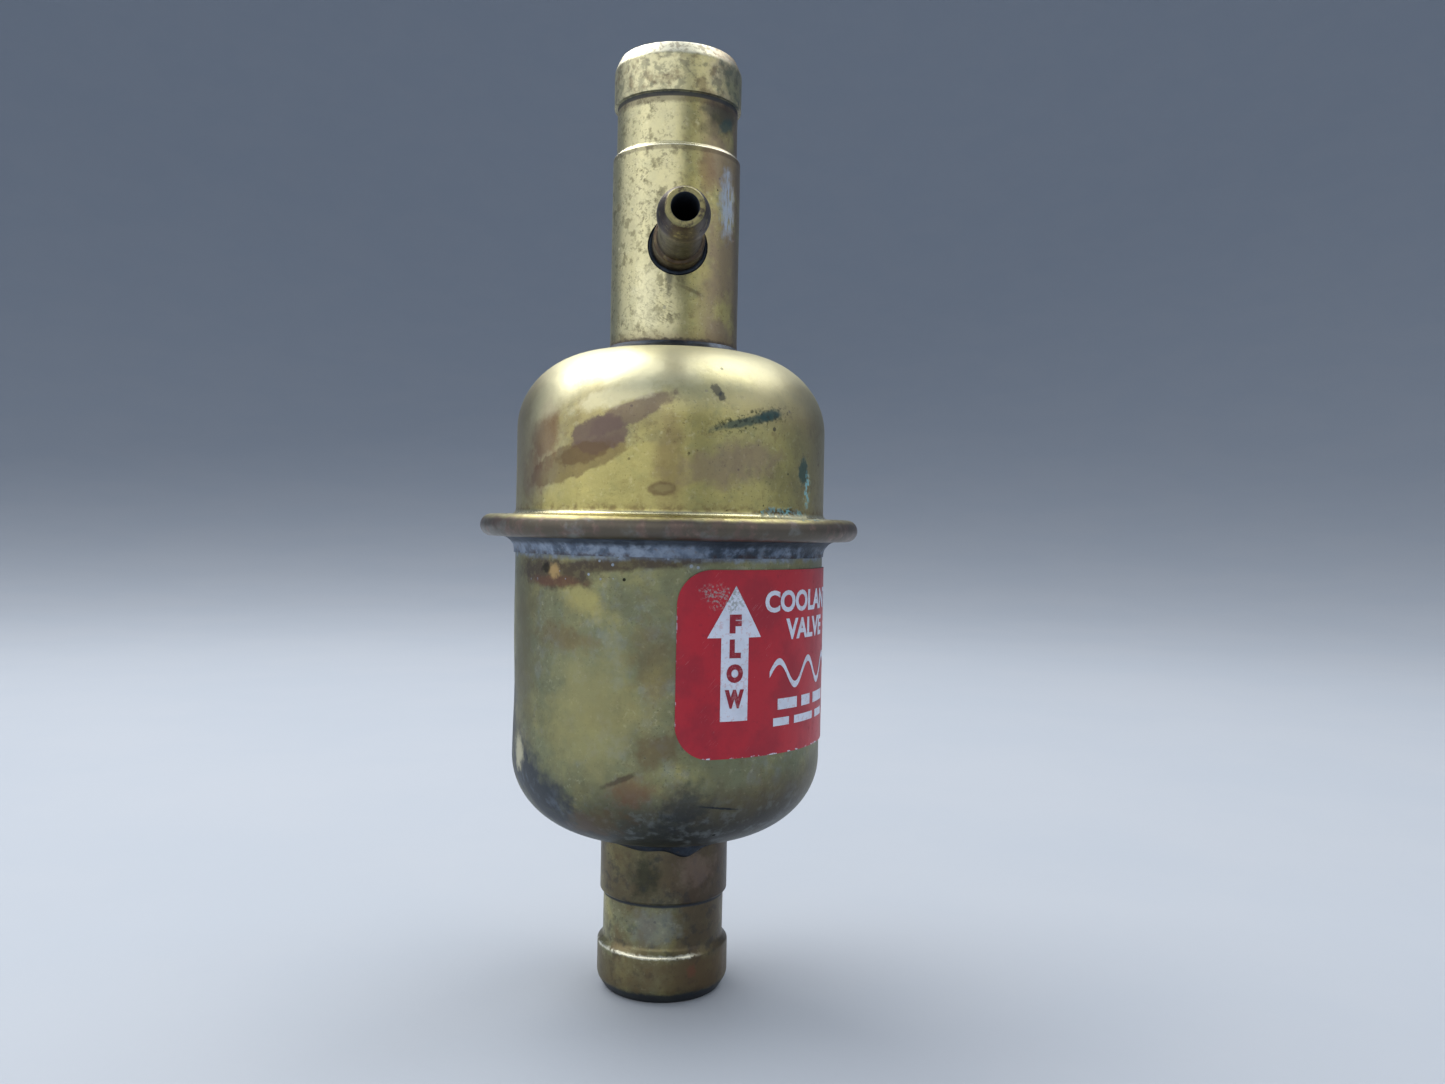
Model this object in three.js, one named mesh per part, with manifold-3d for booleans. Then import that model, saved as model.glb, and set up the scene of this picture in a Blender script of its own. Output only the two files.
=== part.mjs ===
// Thermostatic in-line coolant valve: two drawn brass shells hemmed together round a wax thermostat,
// with a hose neck soldered into each end and a small vent nipple on the outlet neck.
// Millimetres. +Z is the axis of flow, z = 0 the inlet end, and the vent nipple points along -Y.

import * as THREE from 'three';
import { mergeVertices } from 'three/addons/utils/BufferGeometryUtils.js';
import Module from 'manifold-3d';

const wasm = await Module();
wasm.setup();

// Sheet metal, clearances and roundness
const SHEET = 0.8;
const GAP = 0.04; // between faces that are pressed, hemmed or soldered together
const HOUSING_SEGMENTS = 40;
const SMALL_SEGMENTS = 20;
const NIPPLE_SEGMENTS = 24;

// Hose necks, both for 3/4 in hose
const NECK_RADIUS = 9.525;
const GROOVE_RADIUS = 9.0;
const BORE_RADIUS = 7.94;
const TIP_RADIUS = 8.6;
const SPIGOT_RADIUS = 8.9;
const FLARE_RADIUS = 9.8;
const INLET = { chamferTop: 1.8, collarRadius: 9.75, collarTop: 6.9, grooveBottom: 7.8, grooveTop: 14.1 };
const OUTLET = { grooveBottom: 123.5, collarRadius: 9.5, collarBottom: 130.7, chamferBottom: 136, top: 137.9 };
const STEP = 0.5; // the sloped step from groove to neck

// Shells
const SHELL_RADIUS = 22.95;
const LOWER_BOTTOM = 23.4;
const LOWER_CORNER = { radial: 13.5, axial: 11.6 };
const UPPER_TOP = 94.2;
const UPPER_CORNER = { radial: 12.6, axial: 11.5 };
const CROWN = 0.2; // rise of the upper shell from its corner to the neck
const NECK_HOLE_RADIUS = SPIGOT_RADIUS + GAP;

// Hem: four thicknesses of sheet, which are upper flange, seat plate, lower flange and fold
const HEM_RADIUS = 28.07;
const HEM_BOTTOM = 66.9;
const LOWER_FLANGE_BOTTOM = HEM_BOTTOM + SHEET;
const PLATE_BOTTOM = HEM_BOTTOM + 2 * SHEET;
const PLATE_TOP = HEM_BOTTOM + 3 * SHEET;
const HEM_TOP = HEM_BOTTOM + 4 * SHEET;
const FOLD_RADIUS = 2 * SHEET;
const FOLD_END_RADIUS = 24.6;
const FLANGE_RADIUS = HEM_RADIUS - FOLD_RADIUS;

// Vent nipple, for 1/4 in hose; distances are from the axis of flow
const NIPPLE_HEIGHT = 108.7;
const NIPPLE = { inner: 7.4, shoulderFront: 13.3, barbFoot: 22.5, barb: 25.6, tip: 29.5 };
const NIPPLE_RADII = { bore: 1.78, shoulder: 3.65, barrel: 3.05, barb: 3.55, tip: 2.52 };
const NIPPLE_HOLE_RADIUS = 4.3;
const NIPPLE_SOLDER_FACE = 9.25;

// Flow label, wrapped round the lower shell from the nipple's side towards +X
const LABEL = { width: 38, height: 25.1, bottom: 38, corner: 4.7, thickness: 0.12, startDegrees: 0.5 };
const LABEL_COLUMNS = 28;

// Thermostat: seat plate, bridge above it and spring frame below it
const SEAT_INNER_RADIUS = 13.4;
const SEAT_LIP_BOTTOM = 66.3;
const SEAT_INSERT_RADIUS = 21.2; // reach of the bridge's and frame's feet
const RIVET = { offset: 18.9, radius: 1.3, hole: 1.6, upperHead: 2.1, lowerHead: 1.9, headHeight: 0.9 };
const BRIDGE = { sheet: 1.2, width: 9, footInner: 15.4, shoulder: 4.8, top: 87.2 };
const BOSS = { radius: 3.2, bottom: 83.4, socketRadius: 2.05, socketTop: 85.6 };
const FRAME = { sheet: 1.0, width: 8, legRadius: 16, kneeHeight: 52, baseReach: 13.4, bottom: 39.9 };
const FRAME_BASE = { radius: 12.6, hole: 6.3 };
const PISTON = { radius: 1.9, bottom: 46.6, top: 85.4, point: 1.2 };

// Main spring
const SPRING = { meanRadius: 11, wireRadius: 0.9, turns: 6, endEasing: 0.4, sides: 6, stepsPerTurn: 12 };

// Valve disc and wax element, shown closed
const DISC = { radius: 15, bottom: 65.2, top: 66.2, bevel: 0.5, hole: 6.05, hubRadius: 7.2, hubBottom: 62 };
const CUP = { radius: 5.8, wall: 0.5, bottom: 38, corner: 1.2, flangeRadius: 7.4, top: 68.6, mouthRadius: 5.4 };
const GUIDE = { baseRadius: 6.8, base: 67.25, baseTop: 68.05, radius: 4.6, coneBottom: 72.5, coneTop: 77.5 };
const GUIDE_BORE = { radius: 2.05, topRadius: 3.2, washerRadius: 3.4, washerTop: 68.0 };
const BOOT = { radius: 3.2, bottom: 45, bore: 2.02, boreBottom: 46.4, flangeBottom: 66.8, flangeTop: 67.2 };
const WAX_CLEARANCE = 0.1;

// Jiggle pin, loose in a hole of the seat plate, on the side away from the vent nipple
const JIGGLE = { offset: 18.2, hole: 1.6, shank: 0.9, lift: 1.5, headRadius: 2.2, headHeight: 0.75 };
const JIGGLE_BEAD = { radius: 2.1, height: 2.7, bevel: 0.6 };

// Points of an elliptical arc in the (radius, height) plane.
function arc(centre, radii, fromDegrees, toDegrees, steps) {
  const points = [];
  for (let i = 0; i <= steps; i += 1) {
    const degrees = fromDegrees + ((toDegrees - fromDegrees) * i) / steps;
    const angle = THREE.MathUtils.degToRad(degrees);
    points.push([centre[0] + radii[0] * Math.cos(angle), centre[1] + radii[1] * Math.sin(angle)]);
  }
  return points;
}

// A body of revolution round +Z. The profile runs anticlockwise in (radius, height) and is closed
// here unless it starts on the axis.
function turned(profile, segments = HOUSING_SEGMENTS) {
  const closed = profile[0][0] === 0 ? profile : [...profile, profile[0]];
  const points = closed.map(([radius, height]) => new THREE.Vector2(radius, height));
  return new THREE.LatheGeometry(points, segments).rotateX(Math.PI / 2);
}

function rod(radius, bottom, top, segments = SMALL_SEGMENTS) {
  return turned([[0, bottom], [radius, bottom], [radius, top], [0, top]], segments);
}

function tube(innerRadius, outerRadius, bottom, top, segments) {
  return turned([[innerRadius, bottom], [outerRadius, bottom], [outerRadius, top], [innerRadius, top]], segments);
}

// Turns a shape built round +Z so that it points along -Y at the nipple's height.
function aimAsNipple(geometry) {
  return geometry.rotateX(Math.PI / 2).translate(0, 0, NIPPLE_HEIGHT);
}

function toManifold(geometry) {
  const bare = geometry.clone();
  bare.deleteAttribute('normal');
  bare.deleteAttribute('uv');
  const welded = mergeVertices(bare);
  const triangles = [];
  for (let i = 0; i < welded.index.count; i += 3) {
    const corners = [0, 1, 2].map((k) => welded.index.getX(i + k));
    if (new Set(corners).size === 3) {
      triangles.push(...corners);
    }
  }
  const vertProperties = new Float32Array(welded.attributes.position.array);
  const mesh = new wasm.Mesh({ numProp: 3, vertProperties, triVerts: new Uint32Array(triangles) });
  return new wasm.Manifold(mesh);
}

function toGeometry(manifold) {
  const { vertProperties, triVerts } = manifold.getMesh();
  const geometry = new THREE.BufferGeometry();
  geometry.setAttribute('position', new THREE.BufferAttribute(vertProperties, 3));
  geometry.setIndex(new THREE.BufferAttribute(triVerts, 1));
  geometry.computeVertexNormals();
  return geometry;
}

function combined(base, { join = [], cut = [] }) {
  let solid = toManifold(base);
  for (const piece of join) {
    solid = solid.add(toManifold(piece));
  }
  for (const tool of cut) {
    solid = solid.subtract(toManifold(tool));
  }
  return toGeometry(solid);
}

// One side of a bent strip: the path moved sideways, with mitred corners.
function offsetPath(path, distance) {
  const normals = path.slice(1).map((point, i) => {
    const along = point.clone().sub(path[i]).normalize();
    return new THREE.Vector2(-along.y, along.x);
  });
  return path.map((point, i) => {
    const before = normals[Math.max(i - 1, 0)];
    const after = normals[Math.min(i, normals.length - 1)];
    const mitre = before.clone().add(after);
    return point.clone().addScaledVector(mitre, distance / (1 + before.dot(after)));
  });
}

// A metal strip bent along a path in the XZ plane that is mirrored about x = 0.
function bentStrip(rightHalf, thickness, width) {
  const right = rightHalf.map(([x, z]) => new THREE.Vector2(x, z));
  const left = right.map((point) => new THREE.Vector2(-point.x, point.y)).reverse();
  const path = [...left, ...right];
  const outline = [...offsetPath(path, thickness / 2), ...offsetPath(path, -thickness / 2).reverse()];
  const strip = new THREE.ExtrudeGeometry(new THREE.Shape(outline), { depth: width, bevelEnabled: false });
  return strip.rotateX(Math.PI / 2).translate(0, width / 2, 0);
}

function rivetHoles(bottom, top) {
  return [-1, 1].map((side) => rod(RIVET.hole, bottom, top).translate(side * RIVET.offset, 0, 0));
}

function upperShell() {
  const wall = SHELL_RADIUS - SHEET;
  const cornerCentre = [SHELL_RADIUS - UPPER_CORNER.radial, UPPER_TOP - UPPER_CORNER.axial];
  const innerCorner = [UPPER_CORNER.radial - SHEET, UPPER_CORNER.axial - SHEET];
  const foldCentre = [HEM_RADIUS - FOLD_RADIUS, HEM_BOTTOM + FOLD_RADIUS];
  const foldInside = SHEET + GAP;
  const rootFillet = 0.9;
  const rootCentre = [SHELL_RADIUS + rootFillet, HEM_TOP + rootFillet];
  return turned([
    [FOLD_END_RADIUS, HEM_BOTTOM],
    ...arc(foldCentre, [FOLD_RADIUS, FOLD_RADIUS], -90, 90, 6),
    ...arc(rootCentre, [rootFillet, rootFillet], 270, 180, 2),
    ...arc(cornerCentre, [UPPER_CORNER.radial, UPPER_CORNER.axial], 0, 90, 8),
    [NECK_HOLE_RADIUS, UPPER_TOP + CROWN],
    [NECK_HOLE_RADIUS, UPPER_TOP + CROWN - SHEET],
    ...arc(cornerCentre, innerCorner, 90, 0, 6),
    [wall, PLATE_TOP + GAP],
    ...arc(foldCentre, [foldInside, foldInside], 90, -90, 4),
    [FOLD_END_RADIUS, HEM_BOTTOM + FOLD_RADIUS - foldInside],
  ]);
}

function lowerShell() {
  const wall = SHELL_RADIUS - SHEET;
  const cornerCentre = [SHELL_RADIUS - LOWER_CORNER.radial, LOWER_BOTTOM + LOWER_CORNER.axial];
  const innerCorner = [LOWER_CORNER.radial - SHEET, LOWER_CORNER.axial - SHEET];
  const rootBevel = 0.5;
  return turned([
    [NECK_HOLE_RADIUS, LOWER_BOTTOM],
    ...arc(cornerCentre, [LOWER_CORNER.radial, LOWER_CORNER.axial], -90, 0, 8),
    [SHELL_RADIUS, LOWER_FLANGE_BOTTOM - rootBevel],
    [SHELL_RADIUS + rootBevel, LOWER_FLANGE_BOTTOM],
    [FLANGE_RADIUS, LOWER_FLANGE_BOTTOM],
    [FLANGE_RADIUS, PLATE_BOTTOM],
    [wall + rootBevel, PLATE_BOTTOM],
    [wall, PLATE_BOTTOM - rootBevel],
    ...arc(cornerCentre, innerCorner, 0, -90, 6),
    [NECK_HOLE_RADIUS, LOWER_BOTTOM + SHEET],
  ]);
}

// The spigot passes through the shell and its end is flared over inside.
function inletNeck() {
  const shellInside = LOWER_BOTTOM + SHEET;
  const flareTop = shellInside + 1.1;
  return turned([
    [TIP_RADIUS, 0],
    [INLET.collarRadius, INLET.chamferTop],
    [INLET.collarRadius, INLET.collarTop],
    [GROOVE_RADIUS, INLET.grooveBottom],
    [GROOVE_RADIUS, INLET.grooveTop],
    [NECK_RADIUS, INLET.grooveTop + STEP],
    [NECK_RADIUS, LOWER_BOTTOM - GAP],
    [SPIGOT_RADIUS, LOWER_BOTTOM - GAP],
    [SPIGOT_RADIUS, shellInside + GAP],
    [FLARE_RADIUS, shellInside + GAP],
    [FLARE_RADIUS, flareTop - STEP],
    [FLARE_RADIUS - STEP, flareTop],
    [BORE_RADIUS, flareTop],
    [BORE_RADIUS, 0],
  ]);
}

function outletNeck() {
  const shellOutside = UPPER_TOP + CROWN;
  const shellInside = shellOutside - SHEET;
  const flareBottom = shellInside - 1.3;
  const neck = turned([
    [BORE_RADIUS, flareBottom],
    [FLARE_RADIUS - STEP, flareBottom],
    [FLARE_RADIUS, flareBottom + STEP],
    [FLARE_RADIUS, shellInside - 3 * GAP],
    [SPIGOT_RADIUS, shellInside - 3 * GAP],
    [SPIGOT_RADIUS, shellOutside + GAP],
    [NECK_RADIUS, shellOutside + GAP],
    [NECK_RADIUS, OUTLET.grooveBottom - STEP],
    [GROOVE_RADIUS, OUTLET.grooveBottom],
    [GROOVE_RADIUS, OUTLET.collarBottom],
    [OUTLET.collarRadius, OUTLET.collarBottom],
    [OUTLET.collarRadius, OUTLET.chamferBottom],
    [TIP_RADIUS, OUTLET.top],
    [BORE_RADIUS, OUTLET.top],
  ]);
  const hole = rod(NIPPLE_HOLE_RADIUS, BORE_RADIUS / 2, NECK_RADIUS + 1, NIPPLE_SEGMENTS);
  return combined(neck, { cut: [aimAsNipple(hole)] });
}

function ventNipple() {
  const bevel = 0.3;
  return aimAsNipple(turned([
    [NIPPLE_RADII.bore, NIPPLE.inner],
    [NIPPLE_RADII.shoulder - bevel, NIPPLE.inner],
    [NIPPLE_RADII.shoulder, NIPPLE.inner + bevel],
    [NIPPLE_RADII.shoulder, NIPPLE.shoulderFront - bevel],
    [NIPPLE_RADII.shoulder - bevel, NIPPLE.shoulderFront],
    [NIPPLE_RADII.barrel, NIPPLE.shoulderFront],
    [NIPPLE_RADII.barrel, NIPPLE.barbFoot],
    [NIPPLE_RADII.barb, NIPPLE.barb - bevel],
    [NIPPLE_RADII.barb, NIPPLE.barb + bevel],
    [NIPPLE_RADII.tip + bevel, NIPPLE.tip - bevel],
    [NIPPLE_RADII.tip, NIPPLE.tip],
    [NIPPLE_RADII.bore, NIPPLE.tip],
  ], NIPPLE_SEGMENTS));
}

// Solder fills the ring between the nipple and its hole, a little below the neck's surface.
function nippleSolder() {
  const inner = NIPPLE_RADII.shoulder + GAP;
  const outer = NIPPLE_HOLE_RADIUS - GAP;
  const plug = toManifold(aimAsNipple(tube(inner, outer, 6, NECK_RADIUS + 1, NIPPLE_SEGMENTS)));
  const neckWall = toManifold(tube(BORE_RADIUS + GAP, NIPPLE_SOLDER_FACE, NIPPLE_HEIGHT - 6, NIPPLE_HEIGHT + 6));
  return toGeometry(plug.intersect(neckWall));
}

function outletSolder() {
  const inner = NECK_RADIUS + GAP;
  const cornerRadius = SHELL_RADIUS - UPPER_CORNER.radial;
  const foot = UPPER_TOP + GAP;
  return turned([
    [inner, UPPER_TOP + CROWN - GAP],
    [cornerRadius, foot],
    [cornerRadius + 0.65, foot],
    [cornerRadius - 0.2, foot + 0.35],
    [inner, foot + 1.1],
  ]);
}

function inletSolder() {
  const inner = NECK_RADIUS + GAP;
  const face = LOWER_BOTTOM - GAP;
  return turned([
    [inner, face - 0.9],
    [inner + 0.3, face - 0.35],
    [inner + 1.1, face],
    [inner, face],
  ]);
}

// Solder fillet that closes the fold against the lower shell.
function seamSolder() {
  const inner = SHELL_RADIUS + GAP;
  const underFold = HEM_BOTTOM - GAP;
  const insideFold = LOWER_FLANGE_BOTTOM - 2 * GAP;
  const reach = 2;
  const drop = 2.25;
  const foldEnd = FOLD_END_RADIUS - GAP;
  return turned([
    ...arc([inner + reach, underFold - drop], [reach, drop], 180, 90, 4),
    [foldEnd, underFold],
    [foldEnd, insideFold],
    [inner + 0.5, insideFold],
    [inner, insideFold - 0.5],
  ]);
}

// A thin rectangle with round corners, bent round the lower shell.
function flowLabel() {
  const { width, height, corner, thickness } = LABEL;
  const geometry = new THREE.BoxGeometry(2, thickness, 2, LABEL_COLUMNS, 1, 1);
  const position = geometry.attributes.position;
  const middle = THREE.MathUtils.degToRad(LABEL.startDegrees) + width / 2 / SHELL_RADIUS;
  for (let i = 0; i < position.count; i += 1) {
    const along = (width / 2) * Math.sin((position.getX(i) * Math.PI) / 2);
    const pastCorner = Math.max(0, Math.abs(along) - (width / 2 - corner));
    const trim = corner - Math.sqrt(corner * corner - pastCorner * pastCorner);
    const angle = middle + along / SHELL_RADIUS;
    const radius = SHELL_RADIUS + 2 * GAP + thickness / 2 - position.getY(i);
    const z = LABEL.bottom + height / 2 + position.getZ(i) * (height / 2 - trim);
    position.setXYZ(i, radius * Math.sin(angle), -radius * Math.cos(angle), z);
  }
  geometry.computeVertexNormals();
  return geometry;
}

function valveSeat() {
  const lipOuter = SEAT_INNER_RADIUS + SHEET;
  const plate = turned([
    [SEAT_INNER_RADIUS, SEAT_LIP_BOTTOM],
    [lipOuter, SEAT_LIP_BOTTOM],
    [lipOuter, PLATE_BOTTOM + GAP],
    [FLANGE_RADIUS, PLATE_BOTTOM + GAP],
    [FLANGE_RADIUS, PLATE_TOP - GAP],
    [lipOuter, PLATE_TOP - GAP],
    [SEAT_INNER_RADIUS, PLATE_BOTTOM],
  ]);
  const jiggleHole = rod(JIGGLE.hole, PLATE_BOTTOM - 1, PLATE_TOP + 1).translate(0, JIGGLE.offset, 0);
  return combined(plate, { cut: [jiggleHole, ...rivetHoles(PLATE_BOTTOM - 1, PLATE_TOP + 1)] });
}

function bridge() {
  const footMiddle = PLATE_TOP + BRIDGE.sheet / 2;
  const topMiddle = BRIDGE.top - BRIDGE.sheet / 2;
  const strip = bentStrip([
    [BRIDGE.shoulder, topMiddle],
    [BRIDGE.footInner, footMiddle],
    [SEAT_INSERT_RADIUS, footMiddle],
  ], BRIDGE.sheet, BRIDGE.width);
  const boss = rod(BOSS.radius, BOSS.bottom, topMiddle);
  const socket = rod(BOSS.socketRadius, BOSS.bottom - 1, BOSS.socketTop);
  const holes = rivetHoles(PLATE_TOP - 1, PLATE_TOP + BRIDGE.sheet + 1);
  return combined(strip, { join: [boss], cut: [socket, ...holes] });
}

function lowerFrame() {
  const footMiddle = PLATE_BOTTOM - FRAME.sheet / 2;
  const baseMiddle = FRAME.bottom + FRAME.sheet / 2;
  const strip = bentStrip([
    [FRAME.baseReach, baseMiddle],
    [FRAME.legRadius, FRAME.kneeHeight],
    [FRAME.legRadius, footMiddle],
    [SEAT_INSERT_RADIUS, footMiddle],
  ], FRAME.sheet, FRAME.width);
  const base = rod(FRAME_BASE.radius, FRAME.bottom, FRAME.bottom + FRAME.sheet, 2 * SMALL_SEGMENTS);
  const guideHole = rod(FRAME_BASE.hole, FRAME.bottom - 1, FRAME.bottom + FRAME.sheet + 1);
  const holes = rivetHoles(PLATE_BOTTOM - FRAME.sheet - 1, PLATE_BOTTOM + 1);
  return combined(strip, { join: [base], cut: [guideHole, ...holes] });
}

function rivet() {
  const shankBottom = PLATE_BOTTOM - FRAME.sheet - GAP;
  const shankTop = PLATE_TOP + BRIDGE.sheet + GAP;
  const upperEdge = RIVET.upperHead - RIVET.headHeight / 2;
  const lowerEdge = RIVET.lowerHead - RIVET.headHeight / 2;
  return turned([
    [0, shankBottom - RIVET.headHeight],
    [lowerEdge, shankBottom - RIVET.headHeight],
    [RIVET.lowerHead, shankBottom - RIVET.headHeight / 2],
    [RIVET.lowerHead, shankBottom],
    [RIVET.radius, shankBottom],
    [RIVET.radius, shankTop],
    [RIVET.upperHead, shankTop],
    [RIVET.upperHead, shankTop + RIVET.headHeight / 2],
    [upperEdge, shankTop + RIVET.headHeight],
    [0, shankTop + RIVET.headHeight],
  ], 16);
}

function piston() {
  return turned([
    [0, PISTON.bottom],
    [PISTON.radius, PISTON.bottom],
    [PISTON.radius, PISTON.top - PISTON.point],
    [PISTON.radius / 2, PISTON.top],
    [0, PISTON.top],
  ], 16);
}

// Centre line of the main spring; its coils lie closer together towards both ends.
class SpringLine extends THREE.Curve {
  getPoint(t, target = new THREE.Vector3()) {
    const low = FRAME.bottom + FRAME.sheet + SPRING.wireRadius + 2 * GAP;
    const high = DISC.bottom - SPRING.wireRadius - 2 * GAP;
    const eased = t - (SPRING.endEasing * Math.sin(2 * Math.PI * t)) / (2 * Math.PI);
    const angle = 2 * Math.PI * SPRING.turns * t;
    const x = SPRING.meanRadius * Math.cos(angle);
    const y = SPRING.meanRadius * Math.sin(angle);
    return target.set(x, y, low + (high - low) * eased);
  }
}

function mainSpring() {
  const section = new THREE.Shape();
  section.absarc(0, 0, SPRING.wireRadius, 0, 2 * Math.PI);
  const steps = SPRING.turns * SPRING.stepsPerTurn;
  const curveSegments = SPRING.sides / 2;
  return new THREE.ExtrudeGeometry(section, { steps, curveSegments, extrudePath: new SpringLine() });
}

function valveDisc() {
  return turned([
    [DISC.hole, DISC.hubBottom],
    [DISC.hubRadius, DISC.hubBottom],
    [DISC.hubRadius, DISC.bottom],
    [DISC.radius, DISC.bottom],
    [DISC.radius, DISC.top - DISC.bevel],
    [DISC.radius - DISC.bevel, DISC.top],
    [DISC.hole, DISC.top],
  ]);
}

// The cup's rim is crimped over the base of the guide.
function elementCup() {
  const inner = CUP.radius - CUP.wall;
  const floor = CUP.bottom + CUP.wall;
  const flangeBottom = DISC.top + GAP;
  const crimpInner = CUP.flangeRadius - CUP.wall;
  return turned([
    [0, CUP.bottom],
    [CUP.radius - CUP.corner, CUP.bottom],
    [CUP.radius, CUP.bottom + CUP.corner],
    [CUP.radius, flangeBottom],
    [CUP.flangeRadius, flangeBottom],
    [CUP.flangeRadius, CUP.top],
    [CUP.mouthRadius, CUP.top],
    [CUP.mouthRadius, CUP.top - CUP.wall],
    [crimpInner, CUP.top - CUP.wall],
    [crimpInner, flangeBottom + CUP.wall],
    [inner, flangeBottom + CUP.wall],
    [inner, floor + CUP.corner],
    [inner - CUP.corner, floor],
    [0, floor],
  ], SMALL_SEGMENTS);
}

function elementGuide() {
  return turned([
    [GUIDE_BORE.washerRadius, GUIDE.base],
    [GUIDE.baseRadius, GUIDE.base],
    [GUIDE.baseRadius, GUIDE.baseTop],
    [GUIDE.radius, GUIDE.baseTop],
    [GUIDE.radius, GUIDE.coneBottom],
    [GUIDE_BORE.topRadius, GUIDE.coneTop],
    [GUIDE_BORE.radius, GUIDE.coneTop],
    [GUIDE_BORE.radius, GUIDE_BORE.washerTop],
    [GUIDE_BORE.washerRadius, GUIDE_BORE.washerTop],
  ], SMALL_SEGMENTS);
}

function pistonWasher() {
  const clearance = 0.1;
  return tube(
    PISTON.radius + clearance,
    GUIDE_BORE.washerRadius - clearance,
    BOOT.flangeTop + clearance,
    GUIDE_BORE.washerTop - clearance,
    SMALL_SEGMENTS,
  );
}

function rubberBoot() {
  const tipBevel = 1;
  return turned([
    [0, BOOT.bottom],
    [BOOT.radius - tipBevel, BOOT.bottom],
    [BOOT.radius, BOOT.bottom + tipBevel],
    [BOOT.radius, BOOT.flangeBottom],
    [GUIDE.baseRadius, BOOT.flangeBottom],
    [GUIDE.baseRadius, BOOT.flangeTop],
    [BOOT.bore, BOOT.flangeTop],
    [BOOT.bore, BOOT.boreBottom],
    [0, BOOT.boreBottom],
  ], SMALL_SEGMENTS);
}

// The wax fills the cup round the rubber boot.
function waxCharge() {
  const outer = CUP.radius - CUP.wall - WAX_CLEARANCE;
  const inner = BOOT.radius + WAX_CLEARANCE;
  const floor = CUP.bottom + CUP.wall + WAX_CLEARANCE;
  const bootBottom = BOOT.bottom - WAX_CLEARANCE;
  const top = BOOT.flangeBottom - 2 * WAX_CLEARANCE;
  return turned([
    [0, floor],
    [outer - CUP.corner, floor],
    [outer, floor + CUP.corner],
    [outer, top],
    [inner, top],
    [inner, bootBottom + 1],
    [inner - 1, bootBottom],
    [0, bootBottom],
  ], SMALL_SEGMENTS);
}

function jigglePin() {
  const beadTop = PLATE_BOTTOM - JIGGLE.lift - 2 * GAP;
  const beadBottom = beadTop - JIGGLE_BEAD.height;
  const headBottom = PLATE_TOP + GAP;
  const headTop = headBottom + JIGGLE.headHeight;
  return turned([
    [0, beadBottom],
    [JIGGLE_BEAD.radius - JIGGLE_BEAD.bevel, beadBottom],
    [JIGGLE_BEAD.radius, beadBottom + JIGGLE_BEAD.bevel],
    [JIGGLE_BEAD.radius, beadTop],
    [JIGGLE.shank, beadTop],
    [JIGGLE.shank, headBottom],
    [JIGGLE.headRadius, headBottom],
    [JIGGLE.headRadius, headTop - JIGGLE.headHeight / 2],
    [JIGGLE.headRadius - JIGGLE.headHeight / 2, headTop],
    [0, headTop],
  ], 16);
}

const BRASS = { color: 0x9a8b4f, roughness: 0.42, metalness: 1 };
const DARK_BRASS = { color: 0x6f6038, roughness: 0.5, metalness: 1 };
const SOLDER = { color: 0x7f8486, roughness: 0.6, metalness: 0.8 };
const STEEL = { color: 0xa9aaa8, roughness: 0.35, metalness: 1 };
const COPPER = { color: 0xa8643c, roughness: 0.4, metalness: 1 };
const RED_INK = { color: 0xa3131c, roughness: 0.5, metalness: 0 };
const PLASTIC = { color: 0xe8e6df, roughness: 0.6, metalness: 0 };
const RUBBER = { color: 0x1c1c1c, roughness: 0.8, metalness: 0 };
const WAX = { color: 0xc9a25a, roughness: 0.7, metalness: 0 };

function named(name, geometry, finish) {
  const mesh = new THREE.Mesh(geometry, new THREE.MeshStandardMaterial(finish));
  mesh.name = name;
  return mesh;
}

function housing() {
  const body = new THREE.Group();
  body.add(
    named('upper_shell', upperShell(), BRASS),
    named('lower_shell', lowerShell(), BRASS),
    named('outlet_neck', outletNeck(), BRASS),
    named('inlet_neck', inletNeck(), DARK_BRASS),
    named('vent_nipple', ventNipple(), DARK_BRASS),
    named('outlet_solder', outletSolder(), SOLDER),
    named('inlet_solder', inletSolder(), SOLDER),
    named('seam_solder', seamSolder(), SOLDER),
    named('nipple_solder', nippleSolder(), SOLDER),
    named('flow_label', flowLabel(), RED_INK),
    named('valve_seat', valveSeat(), BRASS),
    named('bridge', bridge(), BRASS),
    named('lower_frame', lowerFrame(), STEEL),
    named('piston', piston(), STEEL),
    named('main_spring', mainSpring(), STEEL),
  );
  for (const [name, side] of [['rivet_left', -1], ['rivet_right', 1]]) {
    const mesh = named(name, rivet(), BRASS);
    mesh.position.x = side * RIVET.offset;
    body.add(mesh);
  }
  return body;
}

// What moves down as the wax expands.
function valve() {
  const body = new THREE.Group();
  body.add(
    named('valve_disc', valveDisc(), BRASS),
    named('element_cup', elementCup(), COPPER),
    named('element_guide', elementGuide(), BRASS),
    named('piston_washer', pistonWasher(), PLASTIC),
    named('rubber_boot', rubberBoot(), RUBBER),
    named('wax_charge', waxCharge(), WAX),
  );
  return body;
}

function airVent() {
  const pin = named('jiggle_pin', jigglePin(), BRASS);
  pin.position.y = JIGGLE.offset;
  return pin;
}

const group = new THREE.Group();
group.add(housing(), valve(), airVent());

export default group;
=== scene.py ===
"""Looks of a brass in-line thermostatic coolant valve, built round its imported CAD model."""

from math import acos, atan2, ceil, cos, degrees, exp, hypot, pi, radians, sin, sqrt, tau

import bmesh
import bpy
from mathutils import Matrix, Vector, noise


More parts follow.
